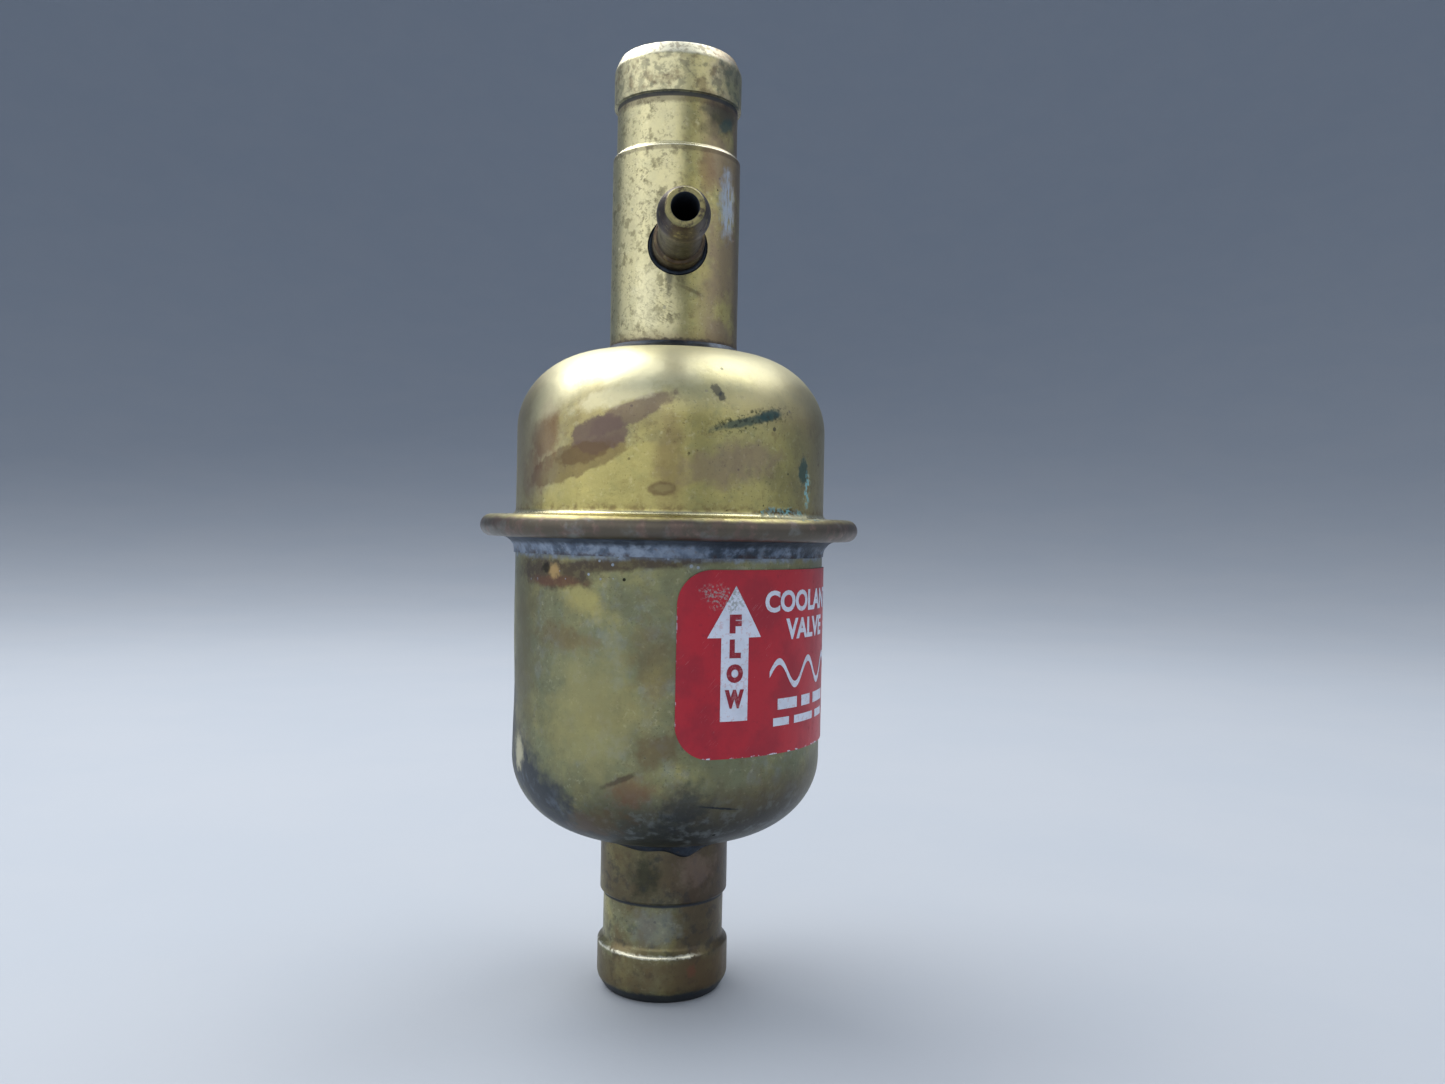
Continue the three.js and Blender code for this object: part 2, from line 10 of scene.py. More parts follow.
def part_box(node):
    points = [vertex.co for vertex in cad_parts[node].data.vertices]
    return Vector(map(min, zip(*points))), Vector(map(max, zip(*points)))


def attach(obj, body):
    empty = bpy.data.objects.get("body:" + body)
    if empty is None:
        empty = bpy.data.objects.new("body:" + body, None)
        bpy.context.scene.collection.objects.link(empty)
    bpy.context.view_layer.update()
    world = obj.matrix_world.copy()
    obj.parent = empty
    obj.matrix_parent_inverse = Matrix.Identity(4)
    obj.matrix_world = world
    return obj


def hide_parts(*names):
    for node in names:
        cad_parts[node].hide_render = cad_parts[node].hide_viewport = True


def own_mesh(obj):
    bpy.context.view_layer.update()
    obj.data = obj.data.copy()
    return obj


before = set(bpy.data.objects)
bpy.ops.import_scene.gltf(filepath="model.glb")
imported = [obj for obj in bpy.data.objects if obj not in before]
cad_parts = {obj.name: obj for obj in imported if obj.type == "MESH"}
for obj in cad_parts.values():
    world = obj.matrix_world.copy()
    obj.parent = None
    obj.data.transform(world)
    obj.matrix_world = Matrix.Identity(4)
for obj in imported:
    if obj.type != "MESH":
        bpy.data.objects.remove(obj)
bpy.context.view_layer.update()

MM = 0.001
SHARP_DEGREES = 40  # faces that meet at more than this keep an edge
SHARP_CAD_DEGREES = 35
SHELL_SEGMENTS = 224
NECK_SEGMENTS = 160
SMALL_SEGMENTS = 96


def box_mm(node):
    """Lowest and highest corner of a CAD node, in millimetres."""
    low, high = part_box(node)
    return low / MM, high / MM


# Sizes in millimetres, from the frame where a node's box says them
UPPER_LOW, UPPER_HIGH = box_mm("upper_shell")
LOWER_LOW, LOWER_HIGH = box_mm("lower_shell")
OUTLET_LOW, OUTLET_HIGH = box_mm("outlet_neck")
INLET_HIGH = box_mm("inlet_neck")[1]
NIPPLE_LOW, NIPPLE_HIGH = box_mm("vent_nipple")
SEAM_LOW, SEAM_HIGH = box_mm("seam_solder")
LABEL_LOW, LABEL_HIGH = box_mm("flow_label")
SPRING_LOW, SPRING_HIGH = box_mm("main_spring")

SHEET = 0.8
GAP = 0.04
SHELL_RADIUS = 22.95
HEM_RADIUS = UPPER_HIGH.x
HEM_BOTTOM = UPPER_LOW.z
HEM_TOP = HEM_BOTTOM + 4 * SHEET
LOWER_FLANGE_TOP = LOWER_HIGH.z
FOLD_RADIUS = 2 * SHEET
FOLD_END_RADIUS = 24.6
SHELL_TOP = UPPER_HIGH.z
CROWN = 0.2
UPPER_CORNER = (12.6, 11.5)
LOWER_BOTTOM = LOWER_LOW.z
LOWER_CORNER = (13.5, 11.6)

NECK_RADIUS = 9.525
GROOVE_RADIUS = 9.0
BORE_RADIUS = 7.94
TIP_RADIUS = 8.6
SPIGOT_RADIUS = 8.9
FLARE_RADIUS = 9.8
COLLAR_RADIUS = 9.5
OUTLET_STEP = OUTLET_HIGH.z - 14.4
OUTLET_COLLAR = OUTLET_HIGH.z - 7.2
OUTLET_CHAMFER = OUTLET_HIGH.z - 1.9
INLET_COLLAR_RADIUS = INLET_HIGH.x
INLET_CHAMFER = 1.8
INLET_COLLAR = 6.9
INLET_STEP = 14.1

NIPPLE_HEIGHT = (NIPPLE_LOW.z + NIPPLE_HIGH.z) / 2
NIPPLE_TIP = -NIPPLE_LOW.y
NIPPLE_INNER = -NIPPLE_HIGH.y
NIPPLE_HOLE_RADIUS = 4.3
SHOULDER_RADIUS = NIPPLE_HIGH.x

# Directions round the axis of flow are in degrees from the nipple's side, growing towards +X
LABEL_START = 0.5
LABEL_END = degrees(acos(-LABEL_HIGH.y / LABEL_HIGH.x))
LABEL_THICKNESS = 0.12
LABEL_OFFSET = 0.08
LABEL_WIDTH = radians(LABEL_END - LABEL_START) * SHELL_RADIUS
LABEL_CORNER = 4.7
INK = 0.02
INK_LEVEL = LABEL_THICKNESS + INK
ARROW_MIDDLE = 8.0
TEXT_MIDDLE = 22.3


def srgb(red, green, blue):
    """Screen values from 0 to 255 as linear light."""
    return tuple(((c / 255 + 0.055) / 1.055) ** 2.4 for c in (red, green, blue))


OLIVE = srgb(172, 164, 112)
DULL_OLIVE = srgb(136, 135, 104)
GOLD = srgb(200, 186, 112)
# Pale brass, also used for painted highlights
PALE_BRASS_AND_HIGHLIGHT = srgb(222, 216, 178)
GREEN_BRASS = srgb(134, 138, 102)
DULL_GREEN = srgb(108, 118, 98)
# Tarnish, also used for painted shade on the lower shell
TARNISH_AND_SHADE = srgb(110, 104, 78)
BROWN = srgb(112, 92, 68)
MAUVE = srgb(136, 118, 106)
PURPLE = srgb(114, 97, 90)
RED_BROWN = srgb(122, 84, 68)
HEM_BROWN = srgb(88, 82, 80)
# Burnt brass, also used for painted shade on the inlet neck and under the outlet collar
BURNT_AND_SHADE = srgb(72, 60, 56)
OCHRE = srgb(190, 160, 108)
DARK = srgb(46, 44, 40)
# Soot, also used for painted shade and shadow in recesses, under overhangs and on downward faces
SOOT_AND_SHADE = srgb(46, 53, 62)
DARK_GREEN = srgb(42, 50, 44)
GREY_FILM = srgb(142, 150, 150)
TEAL = srgb(24, 62, 64)
VERDIGRIS = srgb(118, 170, 178)
POWDER = srgb(156, 170, 188)
# Worn brass, also used for a painted highlight on the outlet chamfer
WORN_AND_HIGHLIGHT = srgb(240, 236, 212)
BRONZE = srgb(86, 78, 68)
SOLDER = srgb(106, 119, 137)
LABEL_RED = srgb(170, 16, 38)
LABEL_DEEP_RED = srgb(138, 10, 36)
LABEL_PINK = srgb(186, 140, 146)
LABEL_WHITE = srgb(206, 214, 230)
STEEL = srgb(184, 184, 182)
COPPER = srgb(205, 148, 114)
WHITE_PLASTIC = srgb(228, 226, 220)
RUBBER = srgb(42, 42, 44)
WAX = srgb(204, 172, 124)


# ---- outlines


def arc(centre, radii, start, end, steps):
    """Points of an elliptical arc in the (radius, height) plane, angles in degrees."""
    points = []
    for i in range(steps + 1):
        a = radians(start + (end - start) * i / steps)
        points.append((centre[0] + radii[0] * cos(a), centre[1] + radii[1] * sin(a)))
    return points


def eased(corners, steps=4):
    """A closed outline whose corners (radius, height, rounding) are rounded off."""
    outline = []
    for i, (r, z, rounding) in enumerate(corners):
        corner = Vector((r, z))
        if rounding == 0:
            outline.append((r, z))
            continue
        before = Vector(corners[i - 1][:2]) - corner
        after = Vector(corners[(i + 1) % len(corners)][:2]) - corner
        start = corner + before.normalized() * min(rounding, 0.45 * before.length)
        end = corner + after.normalized() * min(rounding, 0.45 * after.length)
        for k in range(steps + 1):
            t = k / steps
            point = start * (1 - t) ** 2 + corner * (2 * t * (1 - t)) + end * t**2
            outline.append((point.x, point.y))
    return outline


def split_long(outline, longest):
    """The closed outline with its long stretches cut into equal short ones."""
    fine = []
    for (r0, z0), (r1, z1) in zip(outline, outline[1:] + outline[:1]):
        count = max(1, ceil(hypot(r1 - r0, z1 - z0) / longest))
        fine += [(r0 + (r1 - r0) * k / count, z0 + (z1 - z0) * k / count) for k in range(count)]
    return fine


# ---- meshes


def in_scene(name, data):
    """A new object in the scene that shows this mesh, text, camera or light."""
    piece = bpy.data.objects.new(name, data)
    bpy.context.scene.collection.objects.link(piece)
    return piece


def finished_object(name, bm, sharp_degrees=SHARP_DEGREES):
    """A smooth-shaded object from a bmesh in millimetres."""
    bmesh.ops.remove_doubles(bm, verts=bm.verts, dist=1e-5)
    bmesh.ops.recalc_face_normals(bm, faces=bm.faces)
    bmesh.ops.scale(bm, vec=(MM, MM, MM), verts=bm.verts)
    mesh = bpy.data.meshes.new(name)
    bm.to_mesh(mesh)
    bm.free()
    mesh.polygons.foreach_set("use_smooth", [True] * len(mesh.polygons))
    mesh.set_sharp_from_angle(angle=radians(sharp_degrees))
    piece = in_scene(name, mesh)
    normals = piece.modifiers.new("even_normals", "WEIGHTED_NORMAL")
    normals.keep_sharp = True
    return piece


def stitch(bm, rings, closed=True):
    """Faces from each ring of points to the next, and from the last one back to the first if closed."""
    following = rings[1:] + rings[:1] if closed else rings[1:]
    for here, beyond in zip(rings, following):
        for j in range(len(here)):
            k = (j + 1) % len(here)
            bm.faces.new((here[j], beyond[j], beyond[k], here[k]))


def turned_mesh(outline, segments, shape=None):
    """A closed outline turned round the axis of flow. shape may move each point."""
    bm = bmesh.new()
    rings = []
    for i in range(segments):
        a = tau * i / segments
        ring = []
        for r, z in outline:
            point = Vector((r * sin(a), -r * cos(a), z))
            ring.append(bm.verts.new(shape(point) if shape else point))
        rings.append(ring)
    stitch(bm, rings)
    return bm


def turned(name, outline, longest, segments, shape):
    """A finished object turned from an outline that is cut into stretches of at most that length."""
    return finished_object(name, turned_mesh(split_long(outline, longest), segments, shape))


def angle_of(point):
    """The direction of a point, in degrees from the nipple's side."""
    return degrees(atan2(point.x, -point.y))


def outward_at(point):
    """The direction straight away from the axis of flow."""
    return Vector((point.x, point.y, 0)).normalized()


def dented(dents, ripple):
    """A shape function: dents (direction, height, reach, depth) and a faint ripple, all inward."""

    def shape(point):
        shift = ripple * (noise.noise(point * 0.09) - 1)
        for direction, height, reach, depth in dents:
            around = radians(angle_of(point) - direction) * SHELL_RADIUS
            distance = hypot(around, point.z - height)
            shift -= depth * exp(-((distance / reach) ** 2))
        return point + outward_at(point) * shift

    return shape


# ---- shells and necks


def upper_shell():
    wall = SHELL_RADIUS - SHEET
    top = SHELL_TOP - CROWN
    corner = (SHELL_RADIUS - UPPER_CORNER[0], top - UPPER_CORNER[1])
    inner_corner = (UPPER_CORNER[0] - SHEET, UPPER_CORNER[1] - SHEET)
    fold = (HEM_RADIUS - FOLD_RADIUS, HEM_BOTTOM + FOLD_RADIUS)
    fold_inside = SHEET + GAP
    root = 0.9
    hole = SPIGOT_RADIUS + GAP
    outline = [(FOLD_END_RADIUS, HEM_BOTTOM)]
    outline += arc(fold, (FOLD_RADIUS, FOLD_RADIUS), -90, 90, 20)
    outline += arc((SHELL_RADIUS + root, HEM_TOP + root), (root, root), 270, 180, 8)
    outline += arc(corner, UPPER_CORNER, 0, 90, 40)
    outline += [(hole, SHELL_TOP), (hole, SHELL_TOP - SHEET)]
    outline += arc(corner, inner_corner, 90, 0, 24)
    outline += [(wall, fold[1] + fold_inside)]
    outline += arc(fold, (fold_inside, fold_inside), 90, -90, 10)
    outline += [(FOLD_END_RADIUS, fold[1] - fold_inside)]
    dents = [(-62, 78, 6, 0.12), (8, 90, 5, 0.08), (60, 88, 5, 0.1), (160, 80, 7, 0.15)]
    return turned("drawn_upper_shell", outline, 0.8, SHELL_SEGMENTS, dented(dents, ripple=0.05))


def lower_shell():
    wall = SHELL_RADIUS - SHEET
    corner = (SHELL_RADIUS - LOWER_CORNER[0], LOWER_BOTTOM + LOWER_CORNER[1])
    inner_corner = (LOWER_CORNER[0] - SHEET, LOWER_CORNER[1] - SHEET)
    flange_bottom = LOWER_FLANGE_TOP - SHEET
    hole = SPIGOT_RADIUS + GAP
    bevel = 0.5
    outline = [(hole, LOWER_BOTTOM)]
    outline += arc(corner, LOWER_CORNER, -90, 0, 40)
    outline += [(SHELL_RADIUS, flange_bottom - bevel), (SHELL_RADIUS + bevel, flange_bottom)]
    outline += [(LOWER_HIGH.x, flange_bottom), (LOWER_HIGH.x, LOWER_FLANGE_TOP)]
    outline += [(wall + bevel, LOWER_FLANGE_TOP), (wall, LOWER_FLANGE_TOP - bevel)]
    outline += arc(corner, inner_corner, 0, -90, 24)
    outline += [(hole, LOWER_BOTTOM + SHEET)]
    dents = [(-88, 45, 5, 0.22), (35, 30, 6, 0.12), (-20, 36, 8, 0.1), (150, 50, 8, 0.2)]
    return turned("drawn_lower_shell", outline, 0.8, SHELL_SEGMENTS, dented(dents, ripple=0.06))


def outlet_neck():
    low, high = OUTLET_LOW.z, OUTLET_HIGH.z
    shoulder = SHELL_TOP + GAP
    inside = SHELL_TOP - SHEET - 3 * GAP
    outline = eased([
        (BORE_RADIUS, low, 0.2), (FLARE_RADIUS - 0.5, low, 0.2), (FLARE_RADIUS, low + 0.5, 0.2),
        (FLARE_RADIUS, inside, 0), (SPIGOT_RADIUS, inside, 0), (SPIGOT_RADIUS, shoulder, 0),
        (NECK_RADIUS, shoulder, 0.1), (NECK_RADIUS, OUTLET_STEP - 0.5, 0.25),
        (GROOVE_RADIUS, OUTLET_STEP, 0.2), (GROOVE_RADIUS, OUTLET_COLLAR, 0.05),
        (COLLAR_RADIUS, OUTLET_COLLAR, 0.12), (COLLAR_RADIUS, OUTLET_CHAMFER, 0.5),
        (TIP_RADIUS, high, 0.3), (BORE_RADIUS, high, 0.12),
    ])
    shape = dented([(120, 112, 5, 0.05)], ripple=0.03)
    piece = turned("turned_outlet_neck", outline, 1, NECK_SEGMENTS, shape)
    hole = nipple_cutter()
    cut = piece.modifiers.new("nipple_hole", "BOOLEAN")
    cut.object = hole
    cut.solver = "EXACT"
    piece.modifiers.move(1, 0)
    apply_modifiers(piece)
    bpy.data.objects.remove(hole)
    piece.data.set_sharp_from_angle(angle=radians(SHARP_DEGREES))
    return piece


def apply_modifiers(piece):
    depsgraph = bpy.context.evaluated_depsgraph_get()
    mesh = bpy.data.meshes.new_from_object(piece.evaluated_get(depsgraph))
    piece.modifiers.clear()
    piece.data = mesh


def aimed_at_nipple(bm):
    """Turns a mesh built round +Z so that it points along -Y at the nipple's height."""
    bmesh.ops.rotate(bm, verts=bm.verts, matrix=Matrix.Rotation(pi / 2, 3, "X"))
    bmesh.ops.translate(bm, verts=bm.verts, vec=(0, 0, NIPPLE_HEIGHT))
    return bm


def nipple_cutter():
    outline = [(0, 5), (NIPPLE_HOLE_RADIUS, 5), (NIPPLE_HOLE_RADIUS, 12), (0, 12)]
    return finished_object("hole_cutter", aimed_at_nipple(turned_mesh(outline, SMALL_SEGMENTS)))


def inlet_neck():
    inside = LOWER_BOTTOM + SHEET
    top = INLET_HIGH.z
    outline = eased([
        (TIP_RADIUS, 0, 0.35), (INLET_COLLAR_RADIUS, INLET_CHAMFER, 0.6),
        (INLET_COLLAR_RADIUS, INLET_COLLAR, 0.2), (GROOVE_RADIUS, INLET_COLLAR + 0.9, 0.35),
        (GROOVE_RADIUS, INLET_STEP, 0.2), (NECK_RADIUS, INLET_STEP + 0.5, 0.15),
        (NECK_RADIUS, LOWER_BOTTOM - GAP, 0), (SPIGOT_RADIUS, LOWER_BOTTOM - GAP, 0),
        (SPIGOT_RADIUS, inside + GAP, 0), (FLARE_RADIUS, inside + GAP, 0),
        (FLARE_RADIUS, top - 0.5, 0.2), (FLARE_RADIUS - 0.5, top, 0.2),
        (BORE_RADIUS, top, 0.2), (BORE_RADIUS, 0, 0.12),
    ])
    shape = dented([(70, 4, 2.5, 0.08)], ripple=0.03)
    return turned("turned_inlet_neck", outline, 1, NECK_SEGMENTS, shape)


def vent_nipple():
    outline = eased([
        (1.78, NIPPLE_INNER, 0.1), (SHOULDER_RADIUS, NIPPLE_INNER, 0.3),
        (SHOULDER_RADIUS, 13.3, 0.35), (3.08, 13.6, 0.3), (3.05, 20.5, 1.5),
        (3.55, 25.2, 1.6), (3.4, 26.8, 1.2), (2.62, NIPPLE_TIP - 0.2, 0.4),
        (2.35, NIPPLE_TIP, 0.12), (1.78, NIPPLE_TIP, 0.12),
    ], steps=6)
    bm = turned_mesh(split_long(outline, 0.8), SMALL_SEGMENTS)
    return finished_object("barbed_nipple", aimed_at_nipple(bm))


# ---- solder


def outlet_solder():
    inner = NECK_RADIUS + GAP
    foot = SHELL_TOP - CROWN + GAP
    reach = SHELL_RADIUS - UPPER_CORNER[0]
    outline = eased([
        (inner, SHELL_TOP - GAP, 0), (reach, foot, 0.1), (reach + 0.65, foot, 0.1),
        (reach - 0.2, foot + 0.35, 0.3), (inner, foot + 1, 0.1),
    ])
    return turned("outlet_solder_ring", outline, 0.3, 200, swollen(inner, 0.12))


def swollen(inner, amount):
    """A shape function for a solder ring: it swells unevenly, and its inner face stays round."""

    def shape(point):
        outward = outward_at(point)
        share = min(1, (hypot(point.x, point.y) - inner) / 0.6)
        swell = share * amount * noise.noise(Vector((3 * outward.x, -3 * outward.y, point.z)))
        return point + outward * swell + Vector((0, 0, abs(swell) * share))

    return shape


def inlet_solder():
    inner = NECK_RADIUS + GAP
    face = LOWER_BOTTOM - GAP
    outline = eased([
        (inner, face - 0.85, 0.05), (inner + 0.3, face - 0.45, 0.3), (inner + 1.1, face - 0.02, 0.1),
        (inner + 0.5, face, 0), (inner, face, 0),
    ])

    def shape(point):
        depth = min(1, (face - point.z) / 0.5)
        direction = angle_of(point)
        blob = 1.2 * exp(-(((direction - 16) / 13) ** 2))
        blob += 0.4 * exp(-(((direction + 20) / 16) ** 2))
        swell = 0.12 * noise.noise(point * 0.7) + 0.2 * blob
        away = min(1, (hypot(point.x, point.y) - inner) / 0.25)
        return point + outward_at(point) * swell * away * depth - Vector((0, 0, depth * blob))

    return turned("inlet_solder_ring", outline, 0.25, 240, shape)


def seam_solder():
    inner = SHELL_RADIUS + 2 * GAP
    under_fold = HEM_BOTTOM - GAP
    inside_fold = SEAM_HIGH.z
    reach = 2
    drop = under_fold - SEAM_LOW.z
    fold_end = FOLD_END_RADIUS - GAP
    outline = arc((inner + reach, under_fold - drop), (reach, drop), 180, 90, 14)
    outline += [(fold_end, under_fold), (fold_end, inside_fold)]
    outline += [(inner + 0.5, inside_fold), (inner, inside_fold - 0.5)]

    def shape(point):
        free = min(1, max(0, (under_fold - point.z) / 0.8))
        swell = free * (0.14 * noise.noise(point * 0.35) + 0.07 * noise.noise(point * 1.2))
        sag = 0.5 * free * max(swell, 0)
        return point + outward_at(point) * max(swell, -0.02) - Vector((0, 0, sag))

    return turned("seam_solder_fillet", outline, 0.5, SHELL_SEGMENTS, shape)


def nipple_solder():
    """A saddle-shaped ring, a little below the neck's surface."""
    inner = SHOULDER_RADIUS + GAP
    outer = NIPPLE_HOLE_RADIUS - GAP
    outside, inside = 9.2, BORE_RADIUS + 0.1
    steps = 6
    bm = bmesh.new()
    rings = []
    for i in range(SMALL_SEGMENTS):
        a = tau * i / SMALL_SEGMENTS
        ring = []
        for face, order in ((outside, range(steps + 1)), (inside, range(steps, -1, -1))):
            for k in order:
                r = inner + (outer - inner) * k / steps
                x, z = r * cos(a), r * sin(a)
                hollow = 0.18 * sin(pi * k / steps) if face == outside else 0
                depth = sqrt((face - hollow) ** 2 - x * x)
                rough = 0.05 * noise.noise(Vector((x, z, face)) * 2) if face == outside else 0
                ring.append(bm.verts.new((x, -(depth + rough), NIPPLE_HEIGHT + z)))
        rings.append(ring)
    stitch(bm, rings)
    return finished_object("nipple_solder_ring", bm)


# ---- label


def wrapped(name, bm, thickness, level):
    """Bends flat faces (millimetres from the label's lower left corner) round the lower shell."""
    strip = 0.8
    for cut in range(1, int(LABEL_WIDTH / strip) + 1):
        geometry = list(bm.verts) + list(bm.edges) + list(bm.faces)
        bmesh.ops.bisect_plane(bm, geom=geometry, plane_co=(strip * cut, 0, 0), plane_no=(1, 0, 0))
    grown = bmesh.ops.extrude_face_region(bm, geom=list(bm.faces), use_keep_orig=True)
    for element in grown["geom"]:
        if isinstance(element, bmesh.types.BMVert):
            element.co.z = thickness
    for v in bm.verts:
        a = radians(LABEL_START) + v.co.x / SHELL_RADIUS
        radius = SHELL_RADIUS + LABEL_OFFSET + level + v.co.z
        v.co = Vector((radius * sin(a), -radius * cos(a), LABEL_LOW.z + v.co.y))
    return finished_object(name, bm, sharp_degrees=30)


def flat_shape(points):
    bm = bmesh.new()
    bm.faces.new([bm.verts.new((x, y, 0)) for x, y in points])
    return bm


def label_film():
    near, right = LABEL_CORNER, LABEL_WIDTH - LABEL_CORNER
    top = LABEL_HIGH.z - LABEL_LOW.z - LABEL_CORNER
    points = []
    for x, y, start in ((right, near, -90), (right, top, 0), (near, top, 90), (near, near, 180)):
        points += arc((x, y), (LABEL_CORNER, LABEL_CORNER), start, start + 90, 12)
    return wrapped("label_film", flat_shape(points), LABEL_THICKNESS, 0)


def label_arrow():
    tip, head, foot = 23, 16.1, 5.0
    half_head, half_shaft = 3.95, 2.0
    right = [(half_shaft, foot), (half_shaft, head), (half_head, head)]
    left = [(-x, y) for x, y in reversed(right)]
    points = [(ARROW_MIDDLE + x, y) for x, y in right + [(0, tip)] + left]
    return wrapped("label_arrow", flat_shape(points), INK, INK_LEVEL)


def lettering(name, text, middle, bottom, height, width, level, weight=0.035):
    """Plain capital letters, fitted to a height and width."""
    curve = bpy.data.curves.new(name, "FONT")
    curve.body = text
    curve.offset = weight
    curve.resolution_u = 4
    source = in_scene(name + "_curve", curve)
    depsgraph = bpy.context.evaluated_depsgraph_get()
    mesh = bpy.data.meshes.new_from_object(source.evaluated_get(depsgraph))
    bpy.data.objects.remove(source)
    bm = bmesh.new()
    bm.from_mesh(mesh)
    bmesh.ops.remove_doubles(bm, verts=bm.verts, dist=1e-4)
    xs = [v.co.x for v in bm.verts]
    ys = [v.co.y for v in bm.verts]
    for v in bm.verts:
        v.co.x = middle + ((v.co.x - min(xs)) / (max(xs) - min(xs)) - 0.5) * width
        v.co.y = bottom + (v.co.y - min(ys)) / (max(ys) - min(ys)) * height
        v.co.z = 0
    return wrapped(name, bm, INK, level)


def flow_letters():
    """The word on the arrow, one letter below the other."""
    above_arrow = INK_LEVEL + 2 * INK
    height, weight = 2.5, 0.075
    letters = []
    for text, bottom, width in (("F", 16.7, 1.75), ("L", 13.4, 1.65), ("O", 10.1, 2.4), ("W", 6.7, 2.8)):
        name = "flow_" + text
        letters.append(lettering(name, text, ARROW_MIDDLE, bottom, height, width, above_arrow, weight))
    return letters


def label_words():
    return [
        lettering("word_coolant", "COOLANT", TEXT_MIDDLE, 19.3, 3, 19.4, INK_LEVEL),
        lettering("word_valve", "VALVE", TEXT_MIDDLE, 15.5, 2.9, 11.4, INK_LEVEL),
    ]


def label_wave():
    """Three crests of a plain wave, the sign for a liquid."""
    start, length, middle, lift, half_width = 13.6, 17.5, 10.9, 1.7, 0.45
    waves, count = 2.5, 60
    top, bottom = [], []
    for i in range(count + 1):
        t = i / count
        x = start + length * t
        y = middle + lift * sin(tau * waves * t)
        top.append((x, y + half_width))
        bottom.append((x, y - half_width))
    return wrapped("label_wave", flat_shape(bottom + top[::-1]), INK, INK_LEVEL)


def label_rules():
    """Plain dashes in the place of small print."""
    rules = []
    gap = 1.2
    rows = ((6, 1.5, (4.2, 2.6, 5)), (3.8, 1.1, (3.2, 5.4, 3.6)))
    for row, (y, height, dashes) in enumerate(rows):
        x = TEXT_MIDDLE - (sum(dashes) + 2 * gap) / 2 - gap / 2 * row
        for k, length in enumerate(dashes):
            points = [(x, y), (x + length, y), (x + length, y + height), (x, y + height)]
            name = f"label_rule_{row + 1}_{k + 1}"
            rules.append(wrapped(name, flat_shape(points), INK, INK_LEVEL))
            x += length + gap
    return rules


# ---- spring


def main_spring():
    """A round wire coiled between the frame's base and the valve disc, closer at its ends."""
    turns, wire, sides, closeness = 6, 0.9, 12, 0.4
    radius = SPRING_HIGH.x - wire
    low, high = SPRING_LOW.z + wire, SPRING_HIGH.z - wire
    steps = turns * 36
    bm = bmesh.new()
    rings = []
    for i in range(steps + 1):
        t = i / steps
        a = tau * turns * t
        z = low + (high - low) * (t - closeness * sin(tau * t) / tau)
        outward = Vector((cos(a), sin(a), 0))
        centre = outward * radius + Vector((0, 0, z))
        ring = []
        for k in range(sides):
            b = tau * k / sides
            rim = outward * cos(b) + Vector((0, 0, sin(b)))
            ring.append(bm.verts.new(centre + rim * wire))
        rings.append(ring)
    stitch(bm, rings, closed=False)
    bm.faces.new(rings[0])
    bm.faces.new(rings[-1])
    return finished_object("coil_spring", bm)


# ---- materials


